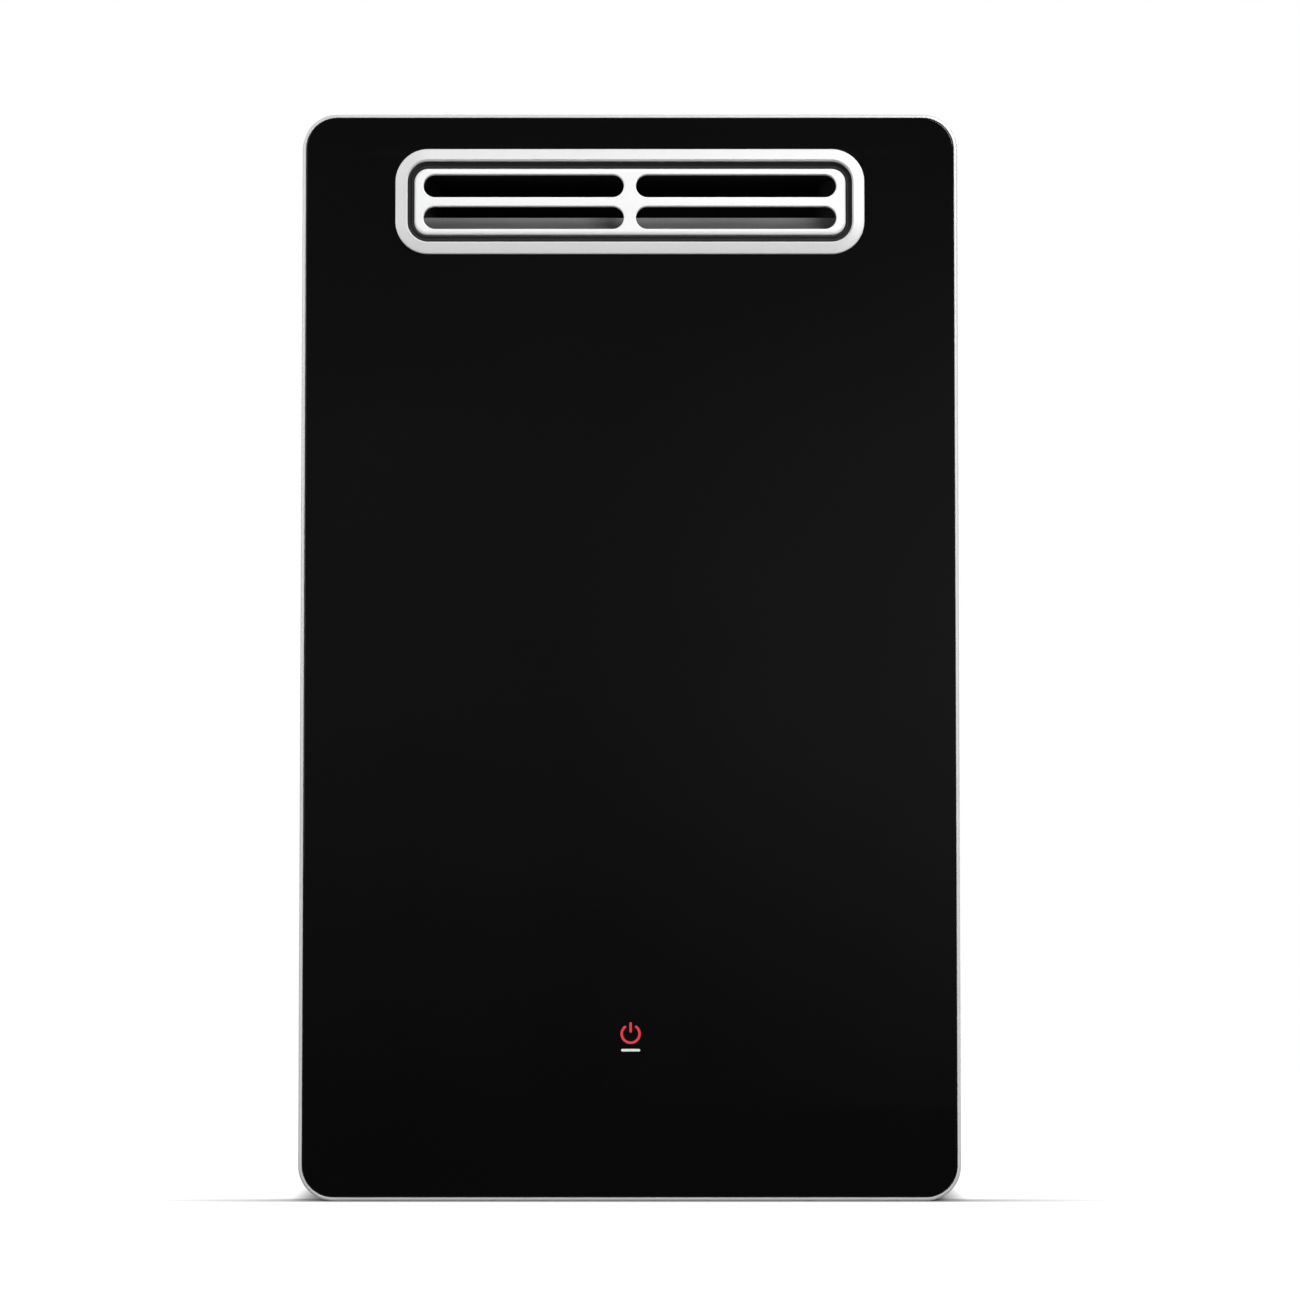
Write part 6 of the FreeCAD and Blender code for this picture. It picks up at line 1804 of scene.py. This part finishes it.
# %% Relief lever
LEVER_HALF, PIN_HALF = 4.5, 6.8
eye_rows = [(0.0, 2.3), (0.0, 3.2), (0.4, 3.6), (8.6, 3.6), (9.0, 3.2), (9.0, 2.3), (0.0, 2.3)]
eye = turned(eye_rows, facing(HOT_X - LEVER_HALF, PIN_Y, PIN_Z, RIGHTWARDS), 28, closed_ends=False)
pin = turned([(0.0, 1.7), (0.3, 2.2), (13.3, 2.2), (13.6, 1.7)],
             facing(HOT_X - PIN_HALF, PIN_Y, PIN_Z, RIGHTWARDS), 28)
strip = block_at(HOT_X, LEVER_HALF, PIN_Y, 1.0, 9.0, 25.2, 0.9, 3)
make_piece("drain_lever", [eye, pin, strip], "stainless", "lever", "relief_lever", weld=False)
print(face_counts("drain_lever"))

# %% [markdown]
# ## The floor
# The heater stands on a pale studio floor that fades into a white backdrop. White comes from what the
# camera, the reflections and the transmitted rays see, not from more light on the heater. A black glass
# front is a mirror: it stays black only if nothing bright stands in front of it, so the floor reaches only
# a little way forwards and the world before the glass is dim.

# %% Floor
floor_mesh = bpy.data.meshes.new("studio_floor")
floor_work = bmesh.new()
bmesh.ops.create_grid(floor_work, x_segments=24, y_segments=16, size=1.0)
bmesh.ops.scale(floor_work, verts=floor_work.verts, vec=(1.8, 1.6, 1.0))
bmesh.ops.translate(floor_work, verts=floor_work.verts, vec=(0.0, 0.30, 0.0))
floor_work.to_mesh(floor_mesh)
floor_work.free()
floor = bpy.data.objects.new("studio_floor", floor_mesh)
scene.collection.objects.link(floor)
print("floor:", len(floor_mesh.polygons), "faces")

# %% [markdown]
# ## Shade on the floor
# The floor is darker where something stands close over it, which an ambient occlusion node measures. A thin
# band of shade lies along the cover's front edge and runs out on both sides. It is measured from the glass,
# so it goes with the cover when that comes off.

# %% Shade on the floor
FLOOR_GREY, FLOOR_GLOW = 0.32, 0.86
CONTACT_REACH, CONTACT_POWER = 0.013, 1.5
FRONT_EDGE, BAND_SHADE, BAND_POWER = -0.077, 0.85, 1.5
floor_finish = bpy.data.materials.new("studio_floor")
floor_finish.use_nodes = True
floor_mesh.materials.append(floor_finish)
floor_shader = floor_finish.node_tree.nodes["Principled BSDF"]


def fade(value, middle, full, gone):
    """1 near a place along one axis, falling to 0 at a distance from it."""
    away = calculated("ABSOLUTE", calculated("SUBTRACT", value, middle))
    return spread(away, 1.0, 0.0, full, gone)


contact = added(floor_shader, "AmbientOcclusion", {"Distance": CONTACT_REACH})
touching = calculated("POWER", contact.outputs["AO"], CONTACT_POWER)
on_cover = added(floor_shader, "TexCoord", {})
on_cover.object = bpy.data.objects["glass_front"]
from_side = coordinate(on_cover.outputs["Object"], "X")
from_front = coordinate(on_cover.outputs["Object"], "Y")
along_edge = calculated("POWER", fade(from_side, 0.0, 0.19, 0.34), BAND_POWER)
across_edge = fade(from_front, FRONT_EDGE, 0.004, 0.020)
edge_shade = calculated("MULTIPLY", calculated("MULTIPLY", along_edge, across_edge), BAND_SHADE)
shaded = calculated("MULTIPLY", touching, calculated("SUBTRACT", 1.0, edge_shade))
print("band of shade:", round(-FRONT_EDGE * 1000), "mm in front")

# %% [markdown]
# ## What each kind of ray sees of the floor
# The camera sees the grey floor with a glow of its own, so it comes out white. Mirror-like metal and
# glass see a backdrop instead, dark in front of the heater and bright behind it.

# %% Glow of the floor
rays = added(floor_shader, "LightPath", {})
glow = calculated("MULTIPLY", shaded, FLOOR_GLOW)
feed(floor_shader, {
    "Base Color": (FLOOR_GREY, FLOOR_GREY, FLOOR_GREY, 1.0), "Roughness": 0.9, "Specular IOR Level": 0.0,
    "Emission Color": (1.0, 1.0, 1.0, 1.0),
    "Emission Strength": calculated("MULTIPLY", rays.outputs["Is Camera Ray"], glow)})
floor_place = added(floor_shader, "TexCoord", {}).outputs["Object"]
mirrored = spread(coordinate(floor_place, "Y"), 0.03, 0.86, -0.1, 1.2)
backdrop = added(floor_shader, "Emission", {"Strength": mirrored})
bounced = calculated("MAXIMUM", rays.outputs["Is Glossy Ray"], rays.outputs["Is Transmission Ray"])
either = added(floor_shader, "MixShader",
               {0: bounced, 1: floor_shader.outputs["BSDF"], 2: backdrop.outputs["Emission"]})
feed(floor_finish.node_tree.nodes["Material Output"], {"Surface": either.outputs["Shader"]})
print("nodes in the floor's finish:", len(floor_finish.node_tree.nodes))

# %% [markdown]
# ## The world
# The world is dim in front of the heater and bright behind it. The black glass mirrors the studio's front
# wall, so that wall isn't evenly dark: a soft band of light lies a little above the floor's far edge, and a
# small patch beside it. They give the glass the faint sheen that it has in the picture.

# %% World
REAR_LIGHT, FRONT_LIGHT, DARK_WALL = 0.62, 0.09, 0.035
BAND_HEIGHT, BAND_LIGHT = 0.075, 0.065
PATCH_TOWARD, PATCH_LIGHT = (0.10, -0.99, 0.05), 0.09
world = bpy.data.worlds.new("studio")
scene.world = world
world.use_nodes = True
sky_light = world.node_tree.nodes["Background"]
toward = added(sky_light, "TexCoord", {}).outputs["Generated"]
path = added(sky_light, "LightPath", {})
from_patch = added(sky_light, "VectorMath", {0: toward, 1: PATCH_TOWARD})
from_patch.operation = "DISTANCE"
band_shape = fade(coordinate(toward, "Z"), BAND_HEIGHT, 0.03, 0.12)
wall_band = calculated("MULTIPLY", band_shape, BAND_LIGHT)
wall_patch = spread(from_patch.outputs["Value"], PATCH_LIGHT, 0.0, 0.02, 0.12)
wall_light = calculated("ADD", calculated("ADD", wall_band, wall_patch), DARK_WALL)
front = added(sky_light, "Mix", {"Factor": path.outputs["Is Glossy Ray"], "A": FRONT_LIGHT, "B": wall_light})
round_the_room = added(sky_light, "MapRange", {
    "Value": coordinate(toward, "Y"), "From Min": -0.55, "From Max": 0.35,
    "To Min": front.outputs["Result"], "To Max": REAR_LIGHT})
round_the_room.interpolation_type = "SMOOTHSTEP"
seen = calculated("MAXIMUM", path.outputs["Is Camera Ray"], round_the_room.outputs["Result"])
feed(sky_light, {"Color": (1.0, 1.0, 1.0, 1.0), "Strength": seen})
print("nodes in the world:", len(world.node_tree.nodes))

# %% [markdown]
# ## Lamps
# Two broad lamps from the upper right and the left model the silver trim. A third lights the back panel.

# %% Lamps


def soft_box(name, place, target, size, power):
    """A broad square lamp that faces a point."""
    sheet = bpy.data.lights.new(name, "AREA")
    sheet.shape = "RECTANGLE"
    sheet.size, sheet.size_y = size, size
    sheet.energy = power
    lamp = bpy.data.objects.new(name, sheet)
    lamp.location = place
    lamp.rotation_euler = (Vector(target) - Vector(place)).to_track_quat("-Z", "Y").to_euler()
    scene.collection.objects.link(lamp)


soft_box("key_lamp", (1.45, -2.3, 2.0), (0.0, 0.0, 0.35), 1.5, 98.0)
soft_box("fill_lamp", (-2.2, -1.7, 1.0), (0.0, 0.0, 0.3), 1.6, 24.0)
soft_box("rear_lamp", (-2.3, 1.8, 1.7), (0.0, 0.0, 0.3), 1.2, 22.0)
scene.view_settings.view_transform = "Standard"
print("lamps:", len(bpy.data.lights))

# %% [markdown]
# ## Close
# The count of the pieces made and of their faces.

# %% Finish
print("pieces made:", len(made_pieces), "faces:", sum(made_pieces.values()))
